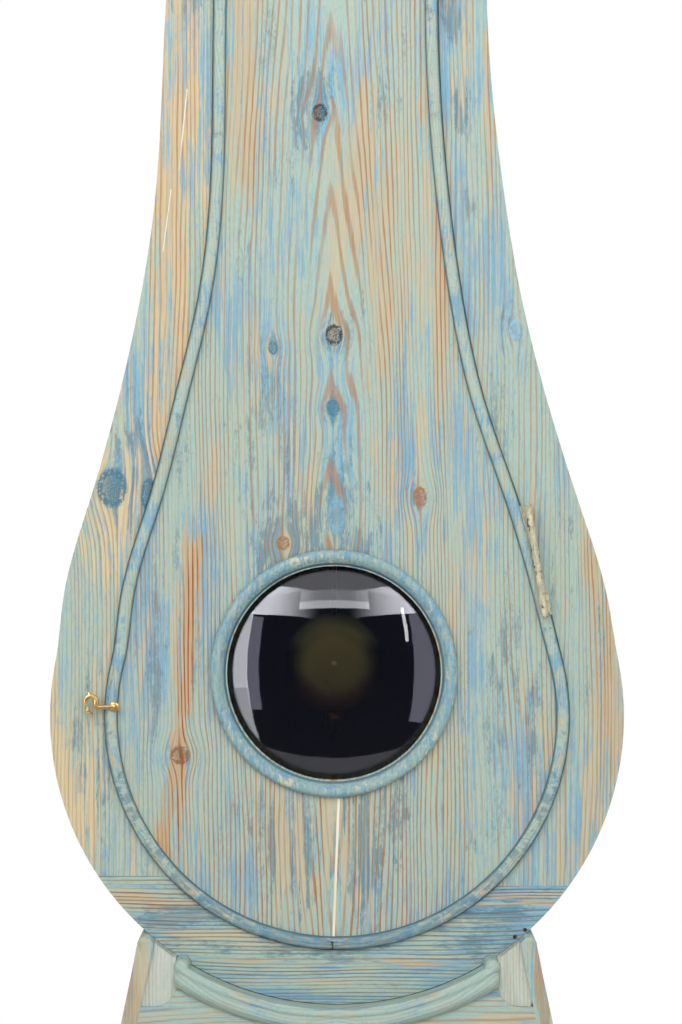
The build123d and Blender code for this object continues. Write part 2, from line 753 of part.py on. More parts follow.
# Cornice over the head and the fan that crowns it.
cornice_start = 32.0
cornice_ring_profile = [
    (hood_head_radius, base_back_y),
    (hood_head_radius, mask_front - 2),
    (hood_head_radius + 4, mask_front - 4),
    (hood_head_radius + 7, mask_front - 10),
    (hood_head_radius + 12, mask_front - 14),
    (hood_head_radius + 16, mask_front - 14),
    (hood_head_radius + 16, base_back_y),
]
cornice_ring = turned(clock_axis, dial_height, cornice_ring_profile)
cornice_floor = dial_height + hood_head_radius * sin(radians(cornice_start))
parts["hood_cornice"] = cornice_ring & block(-tall, tall, -tall, tall, cornice_floor, tall)
fan_petals = 7
fan_step = 22.0
fan_reach = 62.0
fan_petal_width = 24.0
fan_thickness = 18.0
fan_foot = dial_height + hood_head_radius + 16
with BuildSketch() as fan_sketch:
    with Locations((clock_axis, fan_foot + 8)):
        Circle(22.0)
    for number in range(fan_petals):
        turn = (number - (fan_petals - 1) / 2) * fan_step
        with Locations(Location((clock_axis, fan_foot + 8), turn)):
            with Locations((0, fan_reach * 0.55)):
                Ellipse(fan_petal_width / 2, fan_reach / 2)
    with Locations((clock_axis, fan_foot - tall / 2)):
        Rectangle(tall, tall, mode=Mode.SUBTRACT)
fan_plate = plate(fan_sketch.sketch, mask_front - 12, mask_front - 12 + fan_thickness)
crest_cut = rod(clock_axis, dial_height, hood_head_radius + 16, mask_front - 14, base_back_y)
crest_foot = block(
    clock_axis - 48, clock_axis + 48, mask_front - 12, mask_front - 12 + fan_thickness,
    dial_height + hood_head_radius, fan_foot + 6
)
parts["hood_crest"] = (fan_plate + crest_foot) - crest_cut

# Hood door: a turned ring round the dial, with its glass, hinge and knob.
bezel_radius = 148.0
bezel_thickness = 18.0
bezel_back = mask_front - 0.4
bezel_glass_radius = hood_opening_radius + 6
bezel_profile = [
    (hood_opening_radius - 4, bezel_back - 9),
    (hood_opening_radius - 4, bezel_back - 11),
    (hood_opening_radius + 2, bezel_back - 12),
    (hood_opening_radius + 6, bezel_back - bezel_thickness),
    (hood_opening_radius + 12, bezel_back - bezel_thickness),
    (hood_opening_radius + 16, bezel_back - 13),
    (bezel_radius, bezel_back - 7),
    (bezel_radius, bezel_back),
    (bezel_glass_radius, bezel_back),
    (bezel_glass_radius, bezel_back - 9),
]
parts["hood_door_ring"] = turned(clock_axis, dial_height, bezel_profile)
parts["hood_door_glass"] = rod(
    clock_axis, dial_height, bezel_glass_radius, bezel_back - 9, bezel_back - 9 + glass_thickness
)
bezel_hinge_length = 60.0
bezel_hinge_radius = 3.5
bezel_hinge_x = clock_axis + bezel_radius + bezel_hinge_radius + 1.0
bezel_hinge_y = bezel_back - bezel_hinge_radius - 1.0
bezel_knuckle = bezel_hinge_length / 3
frame_knuckles = []
door_knuckle = None
for number in range(3):
    z = dial_height + (number - 1) * bezel_knuckle
    barrel = Pos(bezel_hinge_x, bezel_hinge_y, z) * Cylinder(bezel_hinge_radius, bezel_knuckle - 0.6)
    barrel -= Pos(bezel_hinge_x, bezel_hinge_y, z) * Cylinder(hinge_bore_radius, bezel_knuckle)
    half = bezel_knuckle / 2 - 0.3
    if number == 1:
        strap = block(
            clock_axis + bezel_radius - 4, bezel_hinge_x - hinge_bore_radius - 0.4,
            bezel_back - 4.4, bezel_back - 2.4, z - half, z + half
        )
        door_knuckle = barrel + strap
    else:
        strap = block(
            bezel_hinge_x + hinge_bore_radius + 0.4, bezel_hinge_x + bezel_hinge_radius + 1.4,
            bezel_hinge_y - 1.5, mask_front, z - half, z + half
        )
        frame_knuckles.append(barrel + strap)
parts["hood_hinge_door_leaf"] = door_knuckle
parts["hood_door_ring"] -= door_knuckle
parts["hood_hinge_frame_leaf"] = Compound(children=frame_knuckles)
parts["hood_hinge_pin"] = Pos(bezel_hinge_x, bezel_hinge_y, dial_height) * Cylinder(
    hinge_pin_radius, bezel_hinge_length + 3
)
knob_x = clock_axis - hood_opening_radius - 9
knob_foot = bezel_back - bezel_thickness
parts["hood_door_knob"] = turned(knob_x, dial_height, [
    (0, knob_foot), (4, knob_foot), (2.6, knob_foot - 4), (3.2, knob_foot - 7),
    (6.5, knob_foot - 10), (7.2, knob_foot - 13), (5.4, knob_foot - 17), (0, knob_foot - 18),
])

# ---------------------------------------------------------------- movement: plates
inside_front = plate_front + plate_thickness
inside_back = inside_front + plate_gap
plate_back = inside_back + plate_thickness
centre = (clock_axis, dial_height)
pillar_radius = 4.0
pillar_inset = 8.0
pillar_places = [
    (clock_axis + side * (plate_half_width - pillar_inset), dial_height + height)
    for side in (-1, 1)
    for height in (plate_bottom + 12, plate_top - 12)
]


# Wheel work. Each arbor has a place, a wheel and the pinion that the wheel before drives.
# Tooth sides are straight and thin, so that they run with play at every angle.
tooth_root_share = 0.23
tooth_tip_share = 0.09
addendum = 0.9
dedendum = 1.35


def wheel(teeth, module, x, z, mate, front, thickness, tooth_first=False):
    """Toothed disc with a gap, or with a tooth if tooth_first, on the line to its mate."""
    pitch_radius = teeth * module / 2
    towards = atan2(mate[1] - z, mate[0] - x)
    pitch = 2 * pi / teeth
    start = towards + (0 if tooth_first else pitch / 2)
    corners = []
    for number in range(teeth):
        angle = start + number * pitch
        for share, radius in (
            (-tooth_root_share, pitch_radius - dedendum * module),
            (-tooth_tip_share, pitch_radius + addendum * module),
            (tooth_tip_share, pitch_radius + addendum * module),
            (tooth_root_share, pitch_radius - dedendum * module),
        ):
            turn = angle + share * pitch
            corners.append((x + radius * cos(turn), z + radius * sin(turn)))
    outline = make_face(Polyline(*corners, close=True))
    return plate(outline, front, front + thickness)


def spoke_windows(x, z, inner, outer, front, thickness):
    """Four openings between the spokes of a wheel."""
    ring = disc_outline(outer, x, z) - disc_outline(inner, x, z)
    spoke = 5.0
    cross = Pos(x, z) * Rectangle(2 * outer, spoke) + Pos(x, z) * Rectangle(spoke, 2 * outer)
    return plate(ring - cross, front, front + thickness)


wheel_thickness = 2.0
drum_radius = 20.0
going_drum = (going_x, drum_height)
strike_drum = (strike_x, drum_height)
third_place = (clock_axis + 20.0, dial_height + 20.7)
escape_place = (clock_axis, dial_height + 33.6)
pallet_place = (clock_axis, pivot_height)
pin_place = (clock_axis - 36.0, dial_height + 10.1)
warning_place = (clock_axis - 44.0, dial_height + 32.5)
fly_place = (clock_axis - 48.0, dial_height + 51.0)
hammer_place = (clock_axis - 72.0, dial_height + 44.0)
minute_wheel_place = (clock_axis, dial_height - 28.0)

great_front = inside_front + 3.5
strike_great_front = inside_front + 43.5
centre_front = inside_front + 11.5
third_front = inside_front + 35.5
escape_front = inside_front + 43.5
pin_front = inside_front + 21.5
warning_front = inside_front + 29.5

great_teeth = 96
great_module = 1.0
strike_great_teeth = 84
centre_teeth = 64
centre_module = 0.8
third_teeth = 60
third_module = 0.7
pin_teeth = 60
pin_module = 0.7
warning_teeth = 56
warning_module = 0.6
pinion_leaves = 8
fly_leaves = 7
pinion_length = 8.0


def arbor(place, front=None, back=None):
    """Plain arbor that runs in both plates."""
    x, z = place
    front = plate_front if front is None else front
    back = plate_back if back is None else back
    return rod(x, z, arbor_radius, front, back)


def pinion(leaves, module, place, mate, middle):
    """Pinion cut solid on its arbor, centred on the wheel that drives it."""
    x, z = place
    return wheel(leaves, module, x, z, mate, middle - pinion_length / 2, pinion_length, True)


def train_wheel(teeth, module, place, mate, front):
    """Spoked wheel fixed on its arbor."""
    x, z = place
    body = wheel(teeth, module, x, z, mate, front, wheel_thickness)
    rim = teeth * module / 2 - dedendum * module - 3.0
    return body - spoke_windows(x, z, 6.0, rim, front, wheel_thickness)


def winding_drum(place, great_wheel, drum_front, drum_back):
    """Great wheel, grooved drum and squared winding arbor."""
    x, z = place
    body = great_wheel + rod(x, z, drum_radius, drum_front, drum_back)
    flange = 1.6
    body += rod(x, z, drum_radius + 3, drum_front, drum_front + flange)
    body += rod(x, z, drum_radius + 3, drum_back - flange, drum_back)
    body += arbor(place, plate_front, plate_back)
    key_square = 3.2
    square_front = mask_back - 1.0
    body += block(
        x - key_square / 2, x + key_square / 2, square_front, plate_front - 0.4, z - key_square / 2,
        z + key_square / 2
    )
    body += arbor(place, plate_front - 0.4, plate_front)
    return body


going_great = wheel(
    great_teeth, great_module, *going_drum, centre, great_front, wheel_thickness
)
strike_great = wheel(
    strike_great_teeth, great_module, *strike_drum, pin_place, strike_great_front, wheel_thickness
)
parts["going_barrel"] = winding_drum(
    going_drum, going_great, great_front + wheel_thickness, inside_back - 5
)
parts["strike_barrel"] = winding_drum(
    strike_drum, strike_great, inside_front + 5, strike_great_front
)

centre_arbor_front = dial_back - dial_thickness - 12.0
centre_work = arbor(centre, centre_arbor_front, plate_back)
centre_work += train_wheel(centre_teeth, centre_module, centre, third_place, centre_front)
centre_work += pinion(pinion_leaves, great_module, centre, going_drum, great_front + 1)
cannon_front = plate_front - 6.0
cannon_teeth = 20
motion_module = 0.7
centre_work += wheel(
    cannon_teeth, motion_module, *centre, minute_wheel_place, cannon_front, wheel_thickness, True
)
parts["centre_wheel"] = centre_work

third_work = arbor(third_place)
third_work += train_wheel(third_teeth, third_module, third_place, escape_place, third_front)
third_work += pinion(pinion_leaves, centre_module, third_place, centre, centre_front + 1)
parts["third_wheel"] = third_work

escape_teeth = 30
escape_radius = 15.0
escape_depth = 3.4
escape_corners = []
for number in range(escape_teeth):
    angle = pi / 2 + (number + 0.5) * 2 * pi / escape_teeth
    for turn, radius in ((0.0, escape_radius - escape_depth), (0.16, escape_radius), (0.22, escape_radius)):
        at = angle + turn * 2 * pi / escape_teeth * 4
        escape_corners.append((escape_place[0] + radius * cos(at), escape_place[1] + radius * sin(at)))
escape_outline = make_face(Polyline(*escape_corners, close=True))
escape_disc = plate(escape_outline, escape_front, escape_front + wheel_thickness)
escape_disc -= spoke_windows(
    *escape_place, 4.0, escape_radius - escape_depth - 2.0, escape_front, wheel_thickness
)
escape_work = arbor(escape_place) + escape_disc
escape_work += pinion(pinion_leaves, third_module, escape_place, third_place, third_front + 1)
parts["escape_wheel"] = escape_work

pin_work = arbor(pin_place)
pin_work += train_wheel(pin_teeth, pin_module, pin_place, warning_place, pin_front)
pin_work += pinion(pinion_leaves, great_module, pin_place, strike_drum, strike_great_front + 1)
lift_pins = 8
for number in range(lift_pins):
    angle = number * 2 * pi / lift_pins
    pin_x = pin_place[0] + 17.0 * cos(angle)
    pin_z = pin_place[1] + 17.0 * sin(angle)
    pin_work += rod(pin_x, pin_z, 0.8, pin_front - 5, pin_front + 0.1)
parts["pin_wheel"] = pin_work

warning_work = arbor(warning_place)
warning_work += train_wheel(warning_teeth, warning_module, warning_place, fly_place, warning_front)
warning_work += pinion(pinion_leaves, pin_module, warning_place, pin_place, pin_front + 1)
parts["warning_wheel"] = warning_work

fly_work = arbor(fly_place)
fly_work += pinion(fly_leaves, warning_module, fly_place, warning_place, warning_front + 1)
fly_work += block(
    fly_place[0] - 14, fly_place[0] + 14, inside_front + 4, inside_front + 20, fly_place[1] - 0.5,
    fly_place[1] + 0.5
)
parts["fly"] = fly_work

# Motion work between the front plate and the dial.
minute_teeth = 60
minute_pinion_leaves = 10
hour_teeth = 40
hour_module = 1.12
hour_front = cannon_front - 6.0
stud_radius = 1.5
minute_work = wheel(
    minute_teeth, motion_module, *minute_wheel_place, centre, cannon_front, wheel_thickness
)
minute_work += wheel(
    minute_pinion_leaves, hour_module, *minute_wheel_place, centre, hour_front - 1,
    cannon_front - hour_front + 1.1, True
)
minute_work -= rod(*minute_wheel_place, stud_radius + pivot_clearance, hour_front - 2, plate_front)
parts["minute_wheel"] = minute_work
pipe_bore = arbor_radius + pivot_clearance
pipe_radius = 3.4
hand_thickness = 1.2
hour_hand_front = dial_back - dial_thickness - 4.0
hour_work = wheel(
    hour_teeth, hour_module, *centre, minute_wheel_place, hour_front, wheel_thickness
)
hour_work += rod(*centre, pipe_radius, hour_hand_front + 0.2, hour_front + 0.1)
hour_work -= rod(*centre, pipe_bore, hour_hand_front - 1, hour_front + wheel_thickness + 1)
parts["hour_wheel"] = hour_work

arbor_places = [centre, third_place, escape_place, pin_place, warning_place, fly_place]
arbor_places += [going_drum, strike_drum, pallet_place, hammer_place]
front_plate = plate(
    Pos(clock_axis, dial_height + (plate_top + plate_bottom) / 2)
    * Rectangle(2 * plate_half_width, plate_top - plate_bottom),
    plate_front, inside_front
)
back_plate = Pos(0, plate_gap + plate_thickness, 0) * front_plate
for place in arbor_places:
    hole = rod(*place, arbor_radius + pivot_clearance, plate_front - 1, plate_back + 1)
    front_plate -= hole
    back_plate -= hole
minute_stud = rod(*minute_wheel_place, stud_radius, hour_front - 2, plate_front)
parts["front_plate"] = front_plate + minute_stud
for x, z in pillar_places:
    back_plate += rod(x, z, pillar_radius, inside_front, inside_back)
parts["back_plate"] = back_plate

# Pallets, crutch and hammer.
pallet_clearance = 1.0
pallet_reach = sqrt(2) / 2 * (escape_radius + pallet_clearance)
anchor_face = disc_outline(4.0, *pallet_place)
for side in (-1, 1):
    tip = (escape_place[0] + side * pallet_reach, escape_place[1] + pallet_reach)
    outer = (tip[0] + side * 3.0, tip[1] + 1.5)
    anchor_face += make_face(Polyline(
        (pallet_place[0], pallet_place[1] + 3.0), (pallet_place[0] + side * 9.0, pallet_place[1] + 1.0),
        outer, tip, (pallet_place[0] + side * 7.0, pallet_place[1] - 4.0),
        (pallet_place[0], pallet_place[1] - 3.0), close=True
    ))
anchor = plate(anchor_face, escape_front - 0.5, escape_front + wheel_thickness + 0.5)
crutch_depth = plate_back + 5.0
crutch_length = 70.0
anchor += arbor(pallet_place, plate_front, crutch_depth + 3)
crutch_width = 5.0
anchor += block(
    clock_axis - crutch_width / 2, clock_axis + crutch_width / 2, crutch_depth, crutch_depth + 2,
    pivot_height - crutch_length, pivot_height
)
fork_gap = rod_radius + 0.6
for side in (-1, 1):
    inner = clock_axis + side * fork_gap
    outer = clock_axis + side * (fork_gap + 1.6)
    anchor += block(
        min(inner, outer), max(inner, outer), crutch_depth + 0.5, pendulum_depth + 4,
        pivot_height - crutch_length, pivot_height - crutch_length + 6
    )
anchor += block(
    clock_axis - fork_gap - 1.6, clock_axis + fork_gap + 1.6, crutch_depth, crutch_depth + 2,
    pivot_height - crutch_length, pivot_height - crutch_length + 6
)
parts["pallet_anchor"] = anchor

# Hammer and bell. The hammer's tail lies over the lifting pins.
bell_radius = 42.0
bell_thickness = 3.0
bell_rise = 112.0
bell_height = dial_height + bell_rise
bell_depth = -60.0
bell_post_radius = 3.0
bell_foot_x = clock_axis + 60.0
hammer_gap = 1.5
with BuildSketch() as bell_sketch:
    with BuildLine():
        top = bell_radius * 0.62
        Line((0, top), (0, top - bell_thickness))
        ThreePointArc(
            (0, top - bell_thickness), (bell_radius * 0.62, top * 0.62 - bell_thickness),
            (bell_radius - bell_thickness, 0)
        )
        Line((bell_radius - bell_thickness, 0), (bell_radius, 0))
        ThreePointArc((bell_radius, 0), (bell_radius * 0.67, top * 0.64), (0, top))
    make_face()
bell = revolve(Plane.XZ * bell_sketch.sketch, Axis.Z)
post_x = clock_axis
bell_bore = 2.0
bell = Pos(post_x, bell_depth, bell_height) * bell
bell -= Pos(post_x, bell_depth, bell_height + bell_radius / 2) * Cylinder(bell_bore, bell_radius)
parts["bell"] = bell
stand_y = inside_back + plate_thickness
bell_stand = block(
    bell_foot_x - 6, bell_foot_x + 6, stand_y, stand_y + 2.5, dial_height + plate_top - 30, bell_height - 10
)
bell_stand += block(
    post_x - 5, bell_foot_x + 6, bell_depth - 5, stand_y + 2.5, bell_height - 12, bell_height - 9
)
seat_under = bell_height + bell_radius * 0.62 - bell_thickness - 0.6
bell_stand += Pos(post_x, bell_depth, (bell_height - 9 + seat_under) / 2) * Cylinder(
    bell_post_radius, seat_under - bell_height + 9
)
bell_stand += Pos(post_x, bell_depth, seat_under + 4) * Cylinder(bell_bore - 0.05, 10)
parts["bell_stand"] = bell_stand

hammer_head_x = clock_axis - bell_radius - hammer_gap - 6.0
hammer_y = inside_front + 12.0
hammer = arbor(hammer_place)
hammer += block(
    hammer_place[0] - 1.5, hammer_place[0] + 1.5, hammer_y - 1.5, hammer_y + 1.5, hammer_place[1],
    bell_height + 4
)
hammer += block(
    hammer_place[0] - 1.5, hammer_head_x, hammer_y - 1.5, hammer_y + 1.5, bell_height + 1, bell_height + 4
)
hammer += Pos(hammer_head_x, hammer_y, bell_height + 2.5) * Rot(0, 90, 0) * Cylinder(5.0, 12.0)
hammer += rod(*hammer_place, 4.0, pin_front - 5, pin_front - 1)
parts["hammer"] = hammer

# Dial with its feet, hour and minute hands.
winding_hole_radius = 5.0
dial = rod(*centre, dial_radius, dial_back - dial_thickness, dial_back)
dial -= rod(*centre, pipe_radius + 0.6, dial_back - 5, dial_back + 1)
for place in (going_drum, strike_drum):
    dial -= rod(*place, winding_hole_radius, dial_back - 5, dial_back + 1)
foot_offset = 78.0
dial_foot_radius = 2.5
for side in (-1, 1):
    for level in (-0.9, 0.9):
        dial += rod(
            clock_axis + side * foot_offset, dial_height + level * foot_offset, dial_foot_radius, dial_back,
            plate_front
        )
parts["dial"] = dial


def hand_outline(length, tail, width, eye):
    """Pierced hand that points up, with a round eye, a leaf and a tail."""
    x, z = centre
    shape = disc_outline(eye, x, z) + Pos(x, z + length / 2) * Rectangle(width, length)
    shape += Pos(x, z - tail / 2) * Rectangle(width, tail)
    shape += Pos(x, z + length * 0.62) * Ellipse(width * 1.9, length * 0.16)
    shape -= Pos(x, z + length * 0.62) * Ellipse(width * 1.1, length * 0.09)
    shape += make_face(Polyline(
        (x - width * 1.3, z + length * 0.9), (x, z + length * 1.12), (x + width * 1.3, z + length * 0.9),
        close=True
    ))
    return shape


def turned_hand(outline, turn):
    """Hand turned clockwise from twelve, seen from the front."""
    x, z = centre
    return Pos(x, z) * Rot(0, 0, -turn) * Pos(-x, -z) * outline


hour_hand_length = 70.0
minute_hand_length = 108.0
hour_turn = 305.0
minute_turn = 60.0
hour_hand = turned_hand(hand_outline(hour_hand_length, 12.0, 5.0, 9.0), hour_turn)
hour_hand -= disc_outline(pipe_radius, *centre)
parts["hour_hand"] = plate(hour_hand, hour_hand_front, hour_hand_front + hand_thickness)
minute_hand_front = hour_hand_front - 4.0
minute_hand = turned_hand(hand_outline(minute_hand_length, 20.0, 4.6, 7.0), minute_turn)
minute_hand -= disc_outline(arbor_radius, *centre)
parts["minute_hand"] = plate(minute_hand, minute_hand_front, minute_hand_front + hand_thickness)
parts["hand_nut"] = rod(*centre, 4.5, minute_hand_front - 3, minute_hand_front) - rod(
    *centre, arbor_radius, minute_hand_front - 4, minute_hand_front + 1
)

# ---------------------------------------------------------------- pendulum
cock_width = 24.0
cock_thickness = 3.0
spring_width = 8.0
spring_thickness = 0.4
spring_clamp = 8.0
spring_length = 30.0
cock_back = pendulum_depth + 8.0
back_cock = block(
    clock_axis - cock_width / 2, clock_axis + cock_width / 2, plate_back, plate_back + cock_thickness,
    pivot_height + 6, pivot_height + 24
)
back_cock += block(
    clock_axis - cock_width / 2, clock_axis + cock_width / 2, plate_back, cock_back, pivot_height + 15,
    pivot_height + 24
)
back_cock -= block(
    clock_axis - spring_thickness / 2 - 0.02, clock_axis + spring_thickness / 2 + 0.02,
    pendulum_depth - spring_width / 2 - 0.1, tall, pivot_height + 14, pivot_height + 25
)
parts["back_cock"] = back_cock
parts["suspension_spring"] = block(
    clock_axis - spring_thickness / 2, clock_axis + spring_thickness / 2,
    pendulum_depth - spring_width / 2, pendulum_depth + spring_width / 2,
    pivot_height - spring_length + 8, pivot_height + 22
)
rod_top = pivot_height - spring_length + 8 + spring_clamp
bob_edge_radius = 3.0
nut_radius = 9.0
nut_height = 10.0
rod_bottom = bob_height - bob_radius - nut_height - 12.0
pendulum_rod = Pos(clock_axis, pendulum_depth, (rod_top + rod_bottom) / 2) * Cylinder(
    rod_radius, rod_top - rod_bottom
)
pendulum_rod += block(
    clock_axis - 2.2, clock_axis + 2.2, pendulum_depth - 5, pendulum_depth + 5, rod_top - spring_clamp,
    rod_top
)
pendulum_rod -= block(
    clock_axis - spring_thickness / 2, clock_axis + spring_thickness / 2, pendulum_depth - spring_width / 2,
    pendulum_depth + spring_width / 2, rod_top - spring_clamp, rod_top
)
parts["pendulum_rod"] = pendulum_rod
bob_profile = [
    (0, pendulum_depth - bob_thickness / 2),
    (bob_radius * 0.45, pendulum_depth - bob_thickness * 0.46),
    (bob_radius * 0.75, pendulum_depth - bob_thickness * 0.33),
    (bob_radius * 0.94, pendulum_depth - bob_thickness * 0.14),
    (bob_radius, pendulum_depth - bob_edge_radius / 2),
    (bob_radius, pendulum_depth + bob_edge_radius / 2),
    (bob_radius * 0.94, pendulum_depth + bob_thickness * 0.14),
    (bob_radius * 0.75, pendulum_depth + bob_thickness * 0.33),
    (bob_radius * 0.45, pendulum_depth + bob_thickness * 0.46),
    (0, pendulum_depth + bob_thickness / 2),
]
bob = turned(clock_axis, bob_height, bob_profile)
rod_hole = Pos(clock_axis, pendulum_depth, bob_height) * Cylinder(rod_radius, 4 * bob_radius)
parts["pendulum_bob"] = bob - rod_hole
nut_top = bob_height - bob_radius - 0.2
rating_nut = Pos(clock_axis, pendulum_depth, nut_top - nut_height / 2) * Cylinder(nut_radius, nut_height)
parts["rating_nut"] = rating_nut - rod_hole

# ---------------------------------------------------------------- weights
line_radius = 0.8
line_gap = 0.25
line_reach = drum_radius + line_gap + line_radius
groove_depth = 2.6
pulley_radius = drum_radius + groove_depth
pulley_thickness = 6.0
pulley_gap = 0.3
pulley_height = weight_top_height + 34.0
axle_radius = 2.0
weights = {}
for name, place in (("going", going_drum), ("strike", strike_drum)):
    x = place[0]
    y = drum_depth
    weight = Pos(x, y, weight_top_height - weight_length / 2) * Cylinder(weight_radius, weight_length)
    weight = chamfer(weight.edges().filter_by(GeomType.CIRCLE), 3.0)
    fork_half = pulley_thickness / 2 + pulley_gap
    fork_wall = 2.0
    for side in (-1, 1):
        near = y + side * fork_half
        far = y + side * (fork_half + fork_wall)
        weight += block(
            x - 5, x + 5, min(near, far), max(near, far), weight_top_height + 8, pulley_height + 6
        )
    weight += block(
        x - 5, x + 5, y - fork_half - fork_wall, y + fork_half + fork_wall, weight_top_height - 0.5,
        weight_top_height + 9
    )
    weight += rod(x, pulley_height, axle_radius, y - fork_half, y + fork_half)
    parts[f"{name}_weight"] = weight
    half = pulley_thickness / 2
    parts[f"{name}_pulley"] = turned(x, pulley_height, [
        (axle_radius + pivot_clearance, y - half),
        (pulley_radius, y - half),
        (pulley_radius, y - half + 1.0),
        (drum_radius, y - 0.6),
        (drum_radius, y + 0.6),
        (pulley_radius, y + half - 1.0),
        (pulley_radius, y + half),
        (axle_radius + pivot_clearance, y + half),
    ])
    # The line comes down from the drum, round the pulley and back up to the seat board.
    line_ends = []
    for side in (-1, 1):
        top = drum_height if side < 0 else seat_top - seat_thickness
        run = Pos(x + side * line_reach, y, (pulley_height + top) / 2)
        line_ends.append(run * Cylinder(line_radius, top - pulley_height))
    bow = Pos(x, y, pulley_height) * Rot(90, 0, 0) * Torus(line_reach, line_radius)
    bow &= block(x - 40, x + 40, y - 5, y + 5, pulley_height - 40, pulley_height)
    parts[f"{name}_line"] = line_ends[0] + line_ends[1] + bow

# ---------------------------------------------------------------- write the pieces
# Like pieces, and small ones that stay together, share a file as separate solids.
groups = {
    "base_sides": ["base_side_left", "base_side_right"],
    "ear_posts": ["ear_post_left", "ear_post_right"],
    "plinth": ["plinth_front", "plinth_left", "plinth_right", "base_floor"],
    "waist_side_boards": ["left_side_board", "right_side_board"],
    "movement_seat": ["top_frame", "left_cheek", "right_cheek", "seat_board"],
    "hinge_frame_leaves": ["hinge_frame_leaves", "hinge_pins"],
    "window_ring": ["window_ring", "glazing_ring"],
    "hood_hinge_frame_leaf": ["hood_hinge_frame_leaf", "hood_hinge_pin"],
    "hood_door_fittings": ["hood_hinge_door_leaf", "hood_door_knob"],
    "movement_plates": ["front_plate", "back_plate"],
    "minute_hand": ["minute_hand", "hand_nut"],
    "back_cock_and_bell_stand": ["back_cock", "bell_stand"],
    "pendulum_bob": ["pendulum_bob", "rating_nut"],
    "weight_lines": ["going_line", "strike_line"],
}
for name, members in groups.items():
    solids = []
    for member in members:
        solids += parts.pop(member).solids()
    parts[name] = Compound(children=solids)

os.makedirs("parts", exist_ok=True)
for name, piece in parts.items():
    export_step(piece, f"parts/{name}.step")
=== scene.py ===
import json
import math

import bmesh
import bpy
from mathutils import Matrix, Vector


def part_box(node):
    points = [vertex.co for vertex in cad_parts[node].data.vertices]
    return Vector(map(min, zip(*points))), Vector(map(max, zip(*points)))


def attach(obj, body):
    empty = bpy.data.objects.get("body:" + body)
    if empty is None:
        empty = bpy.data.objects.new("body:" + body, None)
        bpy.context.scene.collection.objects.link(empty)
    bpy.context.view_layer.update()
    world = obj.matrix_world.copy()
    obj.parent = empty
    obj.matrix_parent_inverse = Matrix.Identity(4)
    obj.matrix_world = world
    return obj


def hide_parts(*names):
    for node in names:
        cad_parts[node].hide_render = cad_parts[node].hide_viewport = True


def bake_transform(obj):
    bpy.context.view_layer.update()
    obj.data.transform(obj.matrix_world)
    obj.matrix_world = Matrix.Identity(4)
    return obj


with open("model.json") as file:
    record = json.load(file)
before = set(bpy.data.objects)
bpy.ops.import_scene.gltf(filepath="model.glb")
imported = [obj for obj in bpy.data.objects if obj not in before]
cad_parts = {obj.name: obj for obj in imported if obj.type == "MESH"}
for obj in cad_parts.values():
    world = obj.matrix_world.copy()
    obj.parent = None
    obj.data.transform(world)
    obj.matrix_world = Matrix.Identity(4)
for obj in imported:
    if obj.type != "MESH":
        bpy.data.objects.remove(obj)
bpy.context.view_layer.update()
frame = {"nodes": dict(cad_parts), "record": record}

bl_info = {
    "name": "Long Case Clock Finishes",
    "version": (1, 0, 0),
    "blender": (4, 5, 0),
    "location": "3D View > Sidebar > Clock",
    "description": "Scraped paint, glass, brass and dial work for a bell-shaped long case clock",
    "category": "Object",
}

BODY_OF = {
    name: body for body, names in frame["record"]["behaviour"]["bodies"].items() for name in names
}
WINDOW_LOW, WINDOW_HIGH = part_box("window_ring")
WINDOW_CENTRE = (WINDOW_LOW + WINDOW_HIGH) / 2
DIAL_LOW, DIAL_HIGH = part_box("dial")
DIAL_CENTRE = (DIAL_LOW + DIAL_HIGH) / 2
PANEL_LOW, PANEL_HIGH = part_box("door_panel")

# Places and sizes in metres.
BELLY_CENTRE = 0.643
BOB_CENTRE = (sum(corner.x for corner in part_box("pendulum_bob")) / 2, 0, PANEL_LOW.z + 0.278)
BEAD_SWELL = 0.0013
FRAME_BACK = -0.0934
RING_RADIUS = (WINDOW_HIGH.x - WINDOW_LOW.x) / 2
RING_WIDTH = 0.0165
REBATE_DEPTH = 0.0120
REBATE_WIDTH = 0.0058
LINE_REACH = 0.02105
LINE_THICKNESS = 0.0008
LINE_END = 1.537
NUMERAL_CIRCLE = 0.104

# Face of the window ring: how far in from its rim, and how far behind its crown.
RING_FACE = (
    (0.0, 0.0060), (0.0006, 0.0042), (0.0024, 0.0022), (0.0050, 0.0012), (0.0080, 0.0018), (0.0110, 0.0040),
    (0.0136, 0.0072), (0.0150, 0.0098),
)
# Rounded end of the crescent: radius, and how far behind its front.
CRESCENT_END = ((0.0, 0.0025), (0.0045, 0.0028), (0.0075, 0.0060), (0.0082, 0.0100))
# Minute and hour marks: how many, on what radius, and their size.
DIAL_MARKS = ((60, 0.127, (0.0009, 0.0003, 0.006)), (12, 0.126, (0.0024, 0.0004, 0.009)))

# How bright the room is for the boards, and in front of the glass.
ROOM_FILL = 0.25
ROOM_MIRRORED = 0.12
CAMERA_LENS = 77.34
CAMERA_PLACE = (0.004, -2.315, 0.848)


def linear(red, green, blue):
    """Colour given as 0 to 255 screen values."""
    def one(value):
        value = value / 255
        return value / 12.92 if value <= 0.04045 else ((value + 0.055) / 1.055) ** 2.4
    return (one(red), one(green), one(blue), 1.0)


PAINTS = {
    "Wood": linear(188, 184, 160),
    "Worn Wood": linear(188, 146, 98),
    "Pale Paint": linear(158, 184, 174),
    "Blue Paint": linear(116, 166, 190),
    "Deep Paint": linear(64, 120, 142),
}
GRAIN = linear(164, 112, 66)
WORN_GRAIN = linear(150, 82, 38)
BARE = {"cover": -0.5, "blueness": 0.0}

PLAIN_LIGHT = (1.0, 1.0, 1.0)
COOL_LIGHT = (0.93, 0.93, 1.0)
VIOLET_LIGHT = (0.80, 0.79, 1.0)
